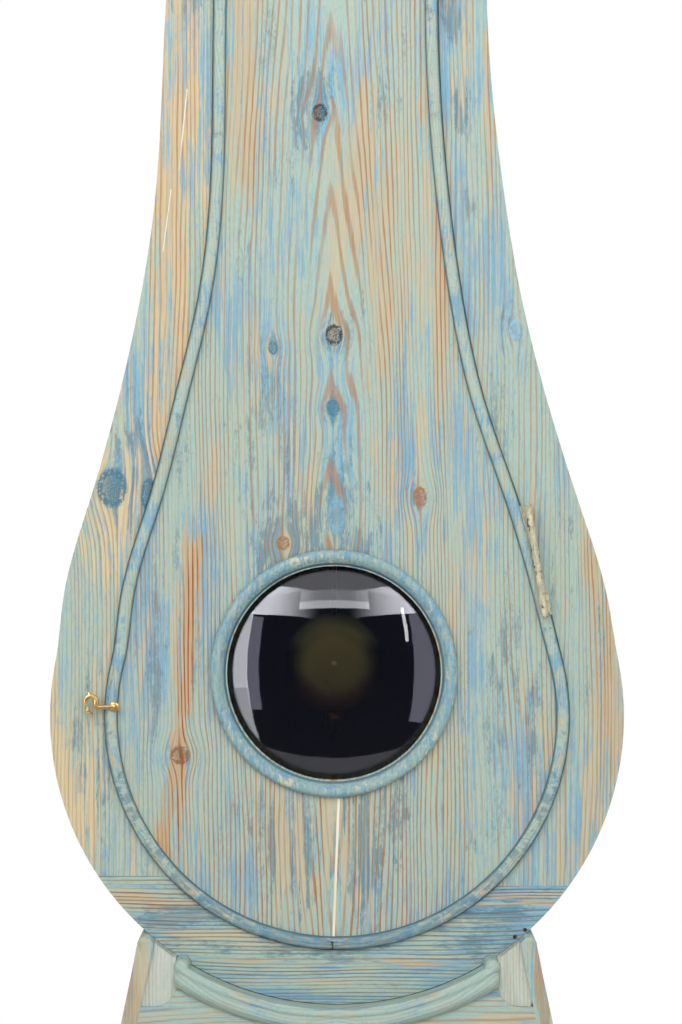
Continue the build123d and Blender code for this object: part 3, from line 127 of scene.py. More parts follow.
# Lamps: name, turn, lower and upper edge above the window, width, share of the light, tint, whether the glass
# mirrors it, how far off it is, and the side at which it dims.
LAMPS = (
    ("room_key", -14, 0.6, 4.4, 5.0, 0.84, PLAIN_LIGHT, False),
    ("room_side", 40, -0.6, 3.0, 1.6, 0.5, PLAIN_LIGHT, False),
    ("key_top", 0, 2.45, 4.6, 6.4, 0.34, COOL_LIGHT),
    ("key_middle", 0, 2.00, 2.45, 2.2, 0.60, COOL_LIGHT),
    ("key_low", 0, 1.72, 2.00, 2.2, 1.35, COOL_LIGHT),
    ("key_low_left", -27, 1.58, 2.75, 2.6, 2.3, COOL_LIGHT, True, 3.6, 1),
    ("key_low_right", 27, 1.60, 2.75, 2.6, 2.1, COOL_LIGHT, True, 3.6, -1),
    ("left_box", -52, -0.6, 5.0, 1.0, 1.7, COOL_LIGHT),
    ("left_box_low", -50, -2.3, -0.6, 0.8, 1.1, COOL_LIGHT),
    ("left_strip", -40.4, -1.2, 1.30, 0.36, 0.45, VIOLET_LIGHT),
    ("right_box", 50, -1.6, 5.0, 1.2, 0.45, VIOLET_LIGHT),
    ("right_strip", 36.5, 0.60, 1.60, 0.10, 2.2, PLAIN_LIGHT),
    ("low_glow", 0, -6.5, -3.3, 6.5, 0.17, COOL_LIGHT),
)


# ------------------------------------------------------------------ node helpers
class Wire:
    """Output of a node. Sums and products of wires and plain values become nodes of their own."""

    def __init__(self, tree, socket):
        self.tree = tree
        self.socket = socket

    def is_vector(self):
        return self.socket.type in ("VECTOR", "RGBA")


def add(tree, kind, **settings):
    """New node with its settings."""
    made = tree.nodes.new(kind)
    for name, value in settings.items():
        setattr(made, name, value)
    return made


def feed(tree, socket, value):
    """Link a socket to a wire, or give it a plain value."""
    if isinstance(value, Wire):
        tree.links.new(value.socket, socket)
    else:
        socket.default_value = value


def source(tree, kind, output=0):
    """Wire from a new node that needs no inputs."""
    return Wire(tree, add(tree, kind).outputs[output])


def wired(kind, values, output=0, **settings):
    """Wire from a new node whose inputs are given by name or number."""
    tree = next(value.tree for value in values.values() if isinstance(value, Wire))
    node = add(tree, kind, **settings)
    for key, value in values.items():
        feed(tree, node.inputs[key], value)
    return Wire(tree, node.outputs[output])


def calc(operation, *values, clamp=False):
    """Math on numbers, or on vectors where one of the values is a vector or a colour."""
    inputs = dict(enumerate(values))
    if any(value.is_vector() if isinstance(value, Wire) else isinstance(value, tuple) for value in values):
        output = "Value" if operation in ("LENGTH", "DISTANCE", "DOT_PRODUCT") else "Vector"
        return wired("ShaderNodeVectorMath", inputs, output, operation=operation)
    return wired("ShaderNodeMath", inputs, operation=operation, use_clamp=clamp)


for sign, operation in (("add", "ADD"), ("sub", "SUBTRACT"), ("mul", "MULTIPLY"), ("truediv", "DIVIDE")):
    setattr(Wire, f"__{sign}__", lambda self, other, kind=operation: calc(kind, self, other))
    setattr(Wire, f"__r{sign}__", lambda self, other, kind=operation: calc(kind, other, self))


def length(a, b):
    """Long side over two short ones."""
    return calc("SQRT", a * a + b * b)


def split(vector):
    """The x, y and z of a vector."""
    node = add(vector.tree, "ShaderNodeSeparateXYZ")
    feed(vector.tree, node.inputs[0], vector)
    return [Wire(vector.tree, socket) for socket in node.outputs]


def join(x, y, z):
    """A vector from three numbers."""
    return wired("ShaderNodeCombineXYZ", {0: x, 1: y, 2: z})


def noise(vector, detail=2.0, roughness=0.5, distortion=0.0, scale=1.0):
    """Noise value about 0.5."""
    values = {
        "Vector": vector, "Scale": scale, "Detail": detail, "Roughness": roughness, "Distortion": distortion,
    }
    return wired("ShaderNodeTexNoise", values, "Fac")


def step(value, low, high, out_low=0.0, out_high=1.0):
    """Soft step of a value between two limits."""
    values = {"Value": value, "From Min": low, "From Max": high, "To Min": out_low, "To Max": out_high}
    return wired("ShaderNodeMapRange", values, "Result", interpolation_type="SMOOTHSTEP")


def mix(share, a, b):
    """Mix of two colours."""
    return wired("ShaderNodeMix", {"Factor": share, 6: a, 7: b}, 2, data_type="RGBA")


def new_tree(kind, name, inputs, outputs):
    """Node group with named sockets; returns the wires of its inputs and a way to feed its outputs.

    An input is given by its default, or by the kind of its socket where it has none."""
    tree = bpy.data.node_groups.new(name, kind)
    kinds = {int: "Int", float: "Float", tuple: "Color"}
    for label, value in inputs.items():
        plain = isinstance(value, str)
        socket_type = "NodeSocket" + (value if plain else kinds[type(value)])
        socket = tree.interface.new_socket(name=label, in_out="INPUT", socket_type=socket_type)
        if not plain:
            socket.default_value = value
    for label, value in outputs.items():
        tree.interface.new_socket(name=label, in_out="OUTPUT", socket_type="NodeSocket" + value)
    given = add(tree, "NodeGroupInput")
    result = add(tree, "NodeGroupOutput")

    def put(label, value):
        feed(tree, result.inputs[label], value)

    return [Wire(tree, socket) for socket in given.outputs[:len(inputs)]], put


def place_group(group, position, **values):
    """Group node in a material; underscores in the names stand for spaces. Returns wires by name."""
    tree = position.tree
    made = add(tree, "ShaderNodeGroup", node_tree=bpy.data.node_groups[group])
    feed(tree, made.inputs["Position"], position)
    for name, value in values.items():
        feed(tree, made.inputs[name.replace("_", " ")], value)
    return {socket.name: Wire(tree, socket) for socket in made.outputs}


# ------------------------------------------------------------------ shared effects
def build_knot_group():
    """Grain that swells round a knot, with the knot's heart and its halo as masks."""
    (position, knot, size, stretch), put = new_tree(
        "ShaderNodeTree", "grain knot",
        {"Position": "Vector", "Knot": "Vector", "Size": 0.01, "Length": 1.0},
        {"Position": "Vector", "Heart": "Float", "Halo": "Float"},
    )
    x, y, z = split(position)
    away = position - knot
    dx, _, dz = split(away)
    reach = length(dx / size, dz / (size * stretch))
    ripple = noise(away * (260, 0, 260), detail=3.0)
    rough_reach = reach + (ripple - 0.5) * 0.9
    halo = calc("EXPONENT", reach * reach / -6.0)
    put("Position", join(x + dx * halo * -0.8, y, z))
    rim = step(calc("ABSOLUTE", rough_reach - 0.95), 0.34, 0.12) * step(ripple, 0.36, 0.5)
    fleck = noise(away * (800, 0, 800))
    core = step(rough_reach, 0.9, 0.6) * step(fleck, 0.44, 0.58, 0.15, 0.85)
    put("Heart", calc("MAXIMUM", rim, core))
    put("Halo", halo)


def build_pine_group():
    """Pine with proud grain lines and dry-scraped, washed paint left in streaks between them."""
    inputs = {
        "Position": "Vector", "Heart": "Vector", "Spread": 0.05, "Pitch": 0.0045, **PAINTS,
        "Cover": 0.6, "Blueness": 0.5, "Wear": 0.0, "Stain": 0.0, "Seed": 0.0,
    }
    outputs = {"Color": "Color", "Line": "Float", "Roughness": "Float", "Height": "Float"}
    wires, put = new_tree("ShaderNodeTree", "scraped pine", inputs, outputs)
    (position, heart, spread, pitch, wood, worn_wood, pale, blue, deep, amount, blueness, wear, stain,
     seed) = wires
    placed = position + join(seed, seed, seed) * (3.17, 1.71, 5.37)

    def field(across, along, **more):
        return noise(placed * (across, across, along), **more)

    x, y, z = split(position)
    heart_x, _, heart_z = split(heart)
    side = x + (field(7, 1.3, detail=3.0) - 0.5) * 0.05 - heart_x
    ring = length(side, (z - heart_z) * spread) + (field(48, 2.2) - 0.5) * 0.008
    wave = calc("SINE", ring / pitch * (2 * math.pi))
    fibre = field(1300, 22, detail=3.0, roughness=0.7)
    fine = field(420, 9, detail=4.0, roughness=0.62)
    streak = field(130, 6, detail=5.0, roughness=0.66)
    patch = field(17, 5.0, detail=6.0, roughness=0.66, distortion=0.3)
    speck = field(700, 150, roughness=0.7)
    line = step(wave + (fibre - 0.5) * 1.3, 0.25, 1.0)
    line = line * step(field(80, 3.0, detail=3.0), 0.34, 0.58, 0.30, 1.0)

    total = patch * 0.42 + streak * 0.34 + fine * 0.24 - wear * 0.13
    low = 0.60 - amount * 0.24
    cover = step(total, low, low + 0.06)
    hue = field(24, 5.5, detail=5.0, roughness=0.7) + (fine - 0.5) * 0.7
    blue_low = 0.66 - blueness * 0.30
    blue_share = step(hue, blue_low, blue_low + 0.12)
    dark = field(34, 8.0, detail=5.0, roughness=0.72) + (streak - 0.5) * 0.4 + stain * 0.30
    dark = step(dark + (speck - 0.5) * 0.3, 0.58, 0.76)
    fleck = step(field(430, 80, detail=3.0, roughness=0.7) + (patch - 0.5) * 0.5, 0.57, 0.66)

    bare = mix(calc("MULTIPLY", wear, 0.55, clamp=True), wood, worn_wood)
    bare = mix(step(fibre, 0.3, 0.75), bare, bare * (0.86, 0.80, 0.72))
    paint = mix(dark * 0.75, mix(blue_share, pale, blue), deep)
    paint = mix(step(speck, 0.4, 0.8, 0.0, 0.5), paint, paint * (0.66, 0.74, 0.80))
    colour = mix(cover * step(fine, 0.34, 0.62, 0.60, 0.96), bare, paint)
    colour = mix(fleck * (blueness * 0.85) * step(wear, 0.0, 1.0, 1.0, 0.5), colour, blue)
    put("Color", colour)
    put("Line", line)
    put("Roughness", step(cover + fibre, 0.3, 1.6, 0.82, 0.62))
    put("Height", line * 0.55 + fibre * 0.35 + cover * 0.12)


def build_streak_group():
    """Ragged streak between two points: a mask for worn bands and cracks."""
    (position, start, end, width, ragged), put = new_tree(
        "ShaderNodeTree", "ragged streak",
        {"Position": "Vector", "From": "Vector", "To": "Vector", "Width": 0.01, "Ragged": 0.5},
        {"Mask": "Float"},
    )
    run_x, _, run_z = split(end - start)
    away_x, _, away_z = split(position - start)
    share = calc("DIVIDE", run_x * away_x + run_z * away_z, run_x * run_x + run_z * run_z, clamp=True)
    torn = (noise(position * (230, 230, 9), detail=5.0, roughness=0.65) - 0.5) * ragged
    gap = length(away_x - run_x * share, (away_z - run_z * share) * 0.4)
    put("Mask", step(gap / width + torn * 5.0, 1.3, 0.3))


def build_patina_group():
    """Uneven brown and green tarnish on metal."""
    (position, bright, dark, amount, scale), put = new_tree(
        "ShaderNodeTree", "patina",
        {"Position": "Vector", "Bright": linear(224, 186, 118), "Dull": linear(112, 84, 44), "Amount": 0.5,
         "Scale": 200.0},
        {"Color": "Color", "Roughness": "Float", "Height": "Float"},
    )
    spot = position * scale
    pit = noise(spot, scale=6.0, detail=3.0)
    low = 0.68 - amount * 0.4
    dull = step(noise(spot, detail=6.0, roughness=0.66), low, low + 0.2)
    put("Color", mix(dull, bright, dark))
    put("Roughness", step(dull + pit * 0.4, 0.0, 1.4, 0.26, 0.62))
    put("Height", pit * 0.5 + dull)


# ------------------------------------------------------------------ materials
def new_material(name):
    """Empty material; returns it, its Principled shader and a wire of the object's own coordinates."""
    made = bpy.data.materials.new(name)
    made.use_nodes = True
    tree = made.node_tree
    tree.nodes.clear()
    shader = add(tree, "ShaderNodeBsdfPrincipled")
    out = add(tree, "ShaderNodeOutputMaterial")
    tree.links.new(shader.outputs[0], out.inputs[0])
    return made, shader, source(tree, "ShaderNodeTexCoord", "Object")


def surface(shader, colour, roughness, height=None, relief=0.0, strength=1.0):
    """Give a shader its colour, its roughness and its relief in metres."""
    tree = shader.id_data
    feed(tree, shader.inputs["Base Color"], colour)
    feed(tree, shader.inputs["Roughness"], roughness)
    if height is not None:
        bump = wired("ShaderNodeBump", {"Strength": strength, "Distance": relief, "Height": height}, "Normal")
        feed(tree, shader.inputs["Normal"], bump)


def grain_position(place, direction):
    """Object position turned so that the grain of its direction runs along Z."""
    if direction == "upright":
        return place
    x, y, z = split(place)
    if direction == "level":
        return join(z, y, x)
    if direction == "side":
        return join(y, x, z)
    if direction == "over the top":
        return join(y, x, z - calc("ABSOLUTE", x))
    # Round the belly below its centre, and straight up above it.
    side = calc("ABSOLUTE", x)
    down = BELLY_CENTRE - z
    below = calc("MAXIMUM", down, 0.0)
    along = calc("ARCTAN2", below, side) * -0.28 - calc("MINIMUM", down, 0.0)
    return join(length(side, below), y, along)


def pine_material(name, direction="upright", seed=0.0, cover=0.6, blueness=0.5, heart=(0.0, 0.0), spread=0.03,
                  pitch=0.0045, lines=0.6, grain=GRAIN, knots=(), worn=(), cracks=(), stains=(), strong=(),
                  relief=0.0005, foot=None, raw_behind=None, smoked=None, shrink=1.0, **paints):
    """Scraped pine with its own knots, worn bands, cracks and dark paint patches.

    Places are x and z, turned as the grain is. Knots: place, radius, stretch and colour. Worn bands: two
    ends, width, raggedness and strength. Cracks: two ends, width and colour. Stains, among them painted
    shadows, and strong grain: place, radius and strength. The foot of a moulding, between two depths, and
    the faces inside the case, as chosen, get painted shade."""
    made, shader, place = new_material(name)
    plain = grain_position(place, direction) * (1, 1, shrink)
    torn = (noise(plain * (110, 110, 34), detail=5.0, roughness=0.7) - 0.5) * 2.6

    def spots(places):
        """Ragged round patches: x, z, radius and strength of each."""
        whole = 0.0
        for x, z, size, share in places:
            reach = calc("DISTANCE", plain * (1, 0, 0.55), (x, 0, z * 0.55)) / size
            whole = calc("MAXIMUM", whole, step(reach + torn, 1.15, 0.15) * share)
        return whole

    def streak(x0, z0, x1, z1, width, ragged):
        """Ragged streak between two points, as a mask."""
        group = place_group(
            "ragged streak", plain, From=(x0, 0, z0), To=(x1, 0, z1), Width=width, Ragged=ragged)
        return group["Mask"]

    wear = 0.0
    for *band, share in worn:
        wear = calc("MAXIMUM", wear, streak(*band) * share)
    position = plain
    stain = spots(stains)
    hearts = []
    for x, z, size, stretch, dark in knots:
        knot = place_group("grain knot", position, Knot=(x, 0, z), Size=size, Length=stretch)
        hearts.append((knot["Heart"], dark))
        stain = calc("MAXIMUM", stain, knot["Halo"] * 0.8)
        position = knot["Position"]
    colours = {
        key.replace(" ", "_"): paints.get(key.split()[0].lower(), value) for key, value in PAINTS.items()
    }
    pine = place_group(
        "scraped pine", position, Heart=(heart[0], 0, heart[1]), Spread=spread, Pitch=pitch, Cover=cover,
        Blueness=blueness, Seed=seed, Wear=wear, Stain=stain, **colours
    )
    line = calc("MULTIPLY", pine["Line"], wear * 0.5 + (spots(strong) + lines), clamp=True)
    colour = mix(line, pine["Color"], mix(wear, grain, WORN_GRAIN) if worn else grain)
    height = pine["Height"]
    for heart_mask, dark in hearts:
        colour = mix(heart_mask * 0.9, colour, dark)
        height = height + heart_mask * 0.8
    for *ends, tone in cracks:
        gap = streak(*ends, 0.35)
        colour = mix(gap, colour, tone)
        height = height - gap * 1.6
    x, y, z = split(place)
    # Painted shade: the part of a moulding nearest the board it stands on, between two depths, turns dark.
    if foot:
        colour = mix(step(y, *foot, 0.0, 0.8), colour, linear(62, 102, 116))
    if raw_behind is not None:
        raw = mix(noise(plain * (500, 500, 12), detail=4.0), linear(150, 116, 76), linear(96, 70, 44))
        colour = mix(step(y, raw_behind - 0.0005, raw_behind), colour, raw)
    if smoked:
        # Painted shade inside the case: either the face towards the front, or every face towards the belly's
        # middle, turns dark.
        inward = (0.0, -1.0, 0.0)
        if smoked == "inside":
            inward = join(x * -9.0, 0.0, calc("MINIMUM", z - BELLY_CENTRE, 0.0) * -9.0)
        facing = calc("DOT_PRODUCT", source(place.tree, "ShaderNodeTexCoord", "Normal"), inward)
        colour = mix(step(facing, 0.0, 0.2), colour, linear(52, 42, 32))
    surface(shader, colour, pine["Roughness"], height, relief)
    shader.inputs["Specular IOR Level"].default_value = 0.25
    return made


def metal_material(name, bright, dull, amount=0.5, scale=200.0, metallic=1.0, relief=0.0001):
    """Metal with its own tarnish."""
    made, shader, place = new_material(name)
    patina = place_group("patina", place, Bright=bright, Dull=dull, Amount=amount, Scale=scale)
    surface(shader, patina["Color"], patina["Roughness"], patina["Height"], relief)
    shader.inputs["Metallic"].default_value = metallic
    return made


def glass_material(name):
    """Old clear glass with a slight waviness."""
    made, shader, place = new_material(name)
    surface(shader, (0.86, 0.87, 0.88, 1), 0.0, noise(place * (22, 22, 22)), 0.0004, 0.25)
    shader.inputs["Transmission Weight"].default_value = 1.0
    shader.inputs["IOR"].default_value = 1.5
    return made


# ------------------------------------------------------------------ mesh helpers
def link(name, data):
    """Object for some data, linked to the scene."""
    made = bpy.data.objects.new(name, data)
    bpy.context.scene.collection.objects.link(made)
    return made


def paint_over(mesh, material):
    """Give a mesh one material."""
    mesh.materials.clear()
    mesh.materials.append(material)


def settle(shape, mesh):
    """Write a working shape into a mesh and free it."""
    shape.to_mesh(mesh)
    shape.free()
    return mesh


def shade(mesh, turn):
    """Rounded shading, broken at edges that turn by more than some degrees."""
    mesh.shade_smooth()
    mesh.set_sharp_from_angle(angle=math.radians(turn))
    return mesh


def plain_mesh(holder):
    """Final mesh of an object, which is then removed."""
    graph = bpy.context.evaluated_depsgraph_get()
    graph.update()
    mesh = bpy.data.meshes.new_from_object(holder.evaluated_get(graph), depsgraph=graph)
    bpy.data.objects.remove(holder)
    return mesh


def finish_piece(name, mesh, material, node):
    """Object for a mesh that stands for a CAD node and rides on its body."""
    mesh.name = name
    paint_over(mesh, material)
    made = link(name, mesh)
    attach(made, BODY_OF[node])
    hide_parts(node)
    return made


def smooth_copy(material, *nodes, turn=32.0):
    """Copies of CAD nodes with merged doubles and rounded shading, which stand for the nodes."""
    for node in nodes:
        mesh = frame["nodes"][node].data.copy()
        shape = bmesh.new()
        shape.from_mesh(mesh)
        bmesh.ops.remove_doubles(shape, verts=shape.verts, dist=1e-6)
        made = finish_piece(node + "_finished", shade(settle(shape, mesh), turn), material, node)
    return made


def dress(material, *nodes):
    """Give CAD nodes their material."""
    for node in nodes:
        paint_over(frame["nodes"][node].data, material)


def rounded(profile, cuts=2):
    """Corners of an open profile cut back again and again, as wear rounds them."""
    for _ in range(cuts):
        softer = [profile[0]]
        for (r0, y0), (r1, y1) in zip(profile, profile[1:]):
            softer.append((r0 * 0.75 + r1 * 0.25, y0 * 0.75 + y1 * 0.25))
            softer.append((r0 * 0.25 + r1 * 0.75, y0 * 0.25 + y1 * 0.75))
        softer.append(profile[-1])
        profile = softer
    return profile


def lathe(profile, x, z, steps=192, turn=40.0):
    """Closed turned mesh about a line along Y; the profile is (radius, y) corners in metres."""
    shape = bmesh.new()
    rings = []
    for radius, y in profile:
        angles = [2 * math.pi * number / steps for number in range(steps if radius > 1e-7 else 1)]
        spots = [(x + radius * math.cos(angle), y, z + radius * math.sin(angle)) for angle in angles]
        rings.append([shape.verts.new(spot) for spot in spots])
    for first, second in zip(rings, rings[1:] + rings[:1]):
        for number in range(steps):
            after = (number + 1) % steps
            corners = [first[number % len(first)], first[after % len(first)],
                       second[after % len(second)], second[number % len(second)]]
            corners = list(dict.fromkeys(corners))
            if len(corners) > 2:
                shape.faces.new(corners)
    bmesh.ops.recalc_face_normals(shape, faces=shape.faces)
    return shade(settle(shape, bpy.data.meshes.new("turned")), turn)


def joined(*meshes):
    """One mesh from several, in one place."""
    shape = bmesh.new()
    for mesh in meshes:
        shape.from_mesh(mesh)
    return settle(shape, bpy.data.meshes.new("joined"))


# ------------------------------------------------------------------ node-built shapes
def close_tree(put, shape, material):
    """End a tree in Realize Instances and Set Material."""
    real = wired("GeometryNodeRealizeInstances", {0: shape})
    put("Geometry", wired("GeometryNodeSetMaterial", {"Geometry": real, "Material": material}))


def build_bar_tree():
    """Round bar or line along a path, thick as the path's radius says."""
    (path, thickness, sides, material), put = new_tree(
        "GeometryNodeTree", "bar along path",
        {"Geometry": "Geometry", "Thickness": 0.001, "Sides": 16, "Material": "Material"},
        {"Geometry": "Geometry"},
    )
    ring = wired("GeometryNodeCurvePrimitiveCircle", {"Resolution": sides, "Radius": thickness}, "Curve")
    bar = wired("GeometryNodeCurveToMesh", {
        "Curve": path, "Profile Curve": ring, "Fill Caps": True,
        "Scale": source(path.tree, "GeometryNodeInputRadius"),
    })
    close_tree(put, wired("GeometryNodeSetShadeSmooth", {0: bar}), material)


def build_mark_tree():
    """Bars set round a circle, as the minute marks of a dial."""
    (_, centre, count, radius, size, material), put = new_tree(
        "GeometryNodeTree", "ring of marks",
        {"Geometry": "Geometry", "Centre": "Vector", "Count": 60, "Radius": 0.1, "Size": "Vector",
         "Material": "Material"},
        {"Geometry": "Geometry"},
    )
    angle = source(centre.tree, "GeometryNodeInputIndex") * (2 * math.pi) / count
    out = join(calc("SINE", angle), 0.0, calc("COSINE", angle))
    points = wired("GeometryNodePoints", {"Count": count})
    spots = wired("GeometryNodeSetPosition", {"Geometry": points, "Position": out * radius + centre})
    mark = wired("GeometryNodeMeshCube", {"Size": size})
    turn = wired("FunctionNodeEulerToRotation", {0: join(0.0, angle, 0.0)})
    marks = wired("GeometryNodeInstanceOnPoints", {"Points": spots, "Instance": mark, "Rotation": turn})
    close_tree(put, marks, material)


def grow(name, data, tree_name, **inputs):
    """Run a geometry tree on a curve or an empty mesh and return the plain mesh."""
    seed = link(name + "_seed", data)
    modifier = seed.modifiers.new("shape", "NODES")
    modifier.node_group = bpy.data.node_groups[tree_name]
    for item in modifier.node_group.interface.items_tree:
        if item.item_type == "SOCKET" and item.in_out == "INPUT" and item.name in inputs:
            modifier[item.identifier] = inputs[item.name]
    mesh = plain_mesh(seed)
    if not mesh.polygons:
        raise RuntimeError(f"{name}: the tree {tree_name} made no faces")
    return mesh


def path_curve(name, *runs):
    """Curve data from runs of (x, y, z, radius share) points in metres."""
    curve = bpy.data.curves.new(name, "CURVE")
    curve.dimensions = "3D"
    for run in runs:
        spline = curve.splines.new("POLY")
        spline.points.add(len(run) - 1)
        for point, (x, y, z, share) in zip(spline.points, run):
            point.co = (x, y, z, 1.0)
            point.radius = share
    return curve


# ------------------------------------------------------------------ sizes and colours a user may change
def share_option(name, description, default):
    return bpy.props.FloatProperty(
        name=name, description=description, default=default, min=0.0, max=1.0, subtype="FACTOR")


def length_option(name, description, default, **limits):
    return bpy.props.FloatProperty(
        name=name, description=description, default=default, unit="LENGTH", **limits)


def colour_option(name, description, default):
    return bpy.props.FloatVectorProperty(
        name=name, description=description, default=default, size=4, subtype="COLOR", min=0.0, max=1.0)


class CLOCK_PG_looks(bpy.types.PropertyGroup):
    cover: share_option("Paint left", "How much of the old paint is left on the boards", 0.62)
    blueness: share_option("Blue paint", "How much of the paint that is left is blue", 0.55)
    relief: length_option(
        "Grain relief", "How far the hard grain lines stand proud", 0.0005, min=0.0, max=0.002)
    wood: colour_option("Bare pine", "Colour of the scraped wood", PAINTS["Wood"])
    blue: colour_option("Blue", "Colour of the blue paint", PAINTS["Blue Paint"])
    brass: colour_option("Brass", "Colour of the bare brass", linear(224, 186, 118))
    tarnish: colour_option("Tarnish", "Colour of the darkened brass", linear(112, 84, 44))
    window_radius: length_option(
        "Window radius", "Radius of the clear opening in the window ring", RING_RADIUS - RING_WIDTH)
    glass_rise: length_option("Dome rise", "How far the window glass bulges", 0.027)
    numeral_height: length_option("Numeral height", "Height of the hour numerals", 0.024)
    light: bpy.props.FloatProperty(
        name="Light", description="Radiance to which the shares of the lamps refer", default=3.5, min=0.0)


def looks():
    """The settings in this scene."""
    return bpy.context.scene.clock_looks


def woods(name, **values):
    """Pine with the paint amounts of this scene."""
    settings = looks()
    given = {
        "cover": settings.cover, "blueness": settings.blueness, "relief": settings.relief,
        "wood": tuple(settings.wood), "blue": tuple(settings.blue),
    }
    given.update(values)
    return pine_material(name, **given)


# ------------------------------------------------------------------ operators
class ClockStep:
    """Shared parts of the operators."""
    bl_options = {"REGISTER", "UNDO"}

    @classmethod
    def poll(cls, context):
        return context.scene is not None


class CLOCK_OT_effects(ClockStep, bpy.types.Operator):
    """Build the shared paint, grain, wear and tarnish effects and the shape trees"""
    bl_idname = "clock.effects"
    bl_label = "Shared Effects"

    def execute(self, context):
        for build in (build_knot_group, build_pine_group, build_streak_group, build_patina_group,
                      build_bar_tree, build_mark_tree):
            build()
        return {"FINISHED"}


class CLOCK_OT_door(ClockStep, bpy.types.Operator):
    """Finish the door board with its knots, worn bands and split"""
    bl_idname = "clock.door"
    bl_label = "Door Board"

    def execute(self, context):
        heartwood = linear(56, 42, 42)
        orange = linear(160, 104, 60)
        door = woods(
            "door_pine", seed=1.0, heart=(-0.006, 0.70), spread=0.055, pitch=0.0046, cover=0.70, lines=0.62,
            raw_behind=PANEL_HIGH.y - 0.0004,
            knots=[
                (-0.017, 1.247, 0.0065, 1.2, heartwood), (-0.003, 1.025, 0.0075, 1.2, heartwood),
                (-0.004, 0.952, 0.006, 1.2, PAINTS["Deep Paint"]), (0.083, 0.863, 0.006, 1.5, orange),
                (-0.064, 1.012, 0.004, 1.5, PAINTS["Deep Paint"]), (-0.054, 0.817, 0.006, 1.0, orange),
                (-0.157, 0.605, 0.008, 1.0, linear(128, 96, 70)),
                (0.0, 0.845, 0.007, 2.4, PAINTS["Blue Paint"]),
            ],
            worn=[
                (-0.143, 0.81, -0.152, 0.66, 0.009, 1.1, 1.0), (-0.157, 0.61, -0.174, 0.50, 0.011, 1.1, 1.0),
                (0.095, 1.36, 0.118, 0.95, 0.020, 0.5, 0.42), (-0.10, 1.36, -0.09, 1.20, 0.018, 0.7, 0.4),
                (0.02, 1.30, 0.05, 1.00, 0.030, 0.9, 0.25),
            ],
            stains=[
                (-0.055, 0.82, 0.035, 1.0), (0.0, 0.83, 0.05, 0.9), (-0.02, 1.26, 0.03, 0.8),
                (-0.06, 0.95, 0.05, 0.5), (0.03, 0.53, 0.05, 0.9), (-0.05, 0.50, 0.05, 0.7),
                (0.17, 0.60, 0.07, 0.45), (-0.17, 0.75, 0.05, 0.45),
            ],
            strong=[(-0.01, 0.52, 0.14, 0.35), (-0.10, 0.72, 0.09, 0.25), (0.14, 0.62, 0.08, 0.2)],
        )
        dress(door, "door_panel")
        batten = woods("batten_pine", direction="level", seed=9.0, **BARE, heart=(1.1, 0.3),
                       wood=linear(150, 118, 80))
        dress(batten, "door_battens")
        putty = woods("split_putty", seed=2.0, **BARE, wood=linear(238, 232, 214), lines=0.15)
        dress(putty, "split_filler")
        return {"FINISHED"}


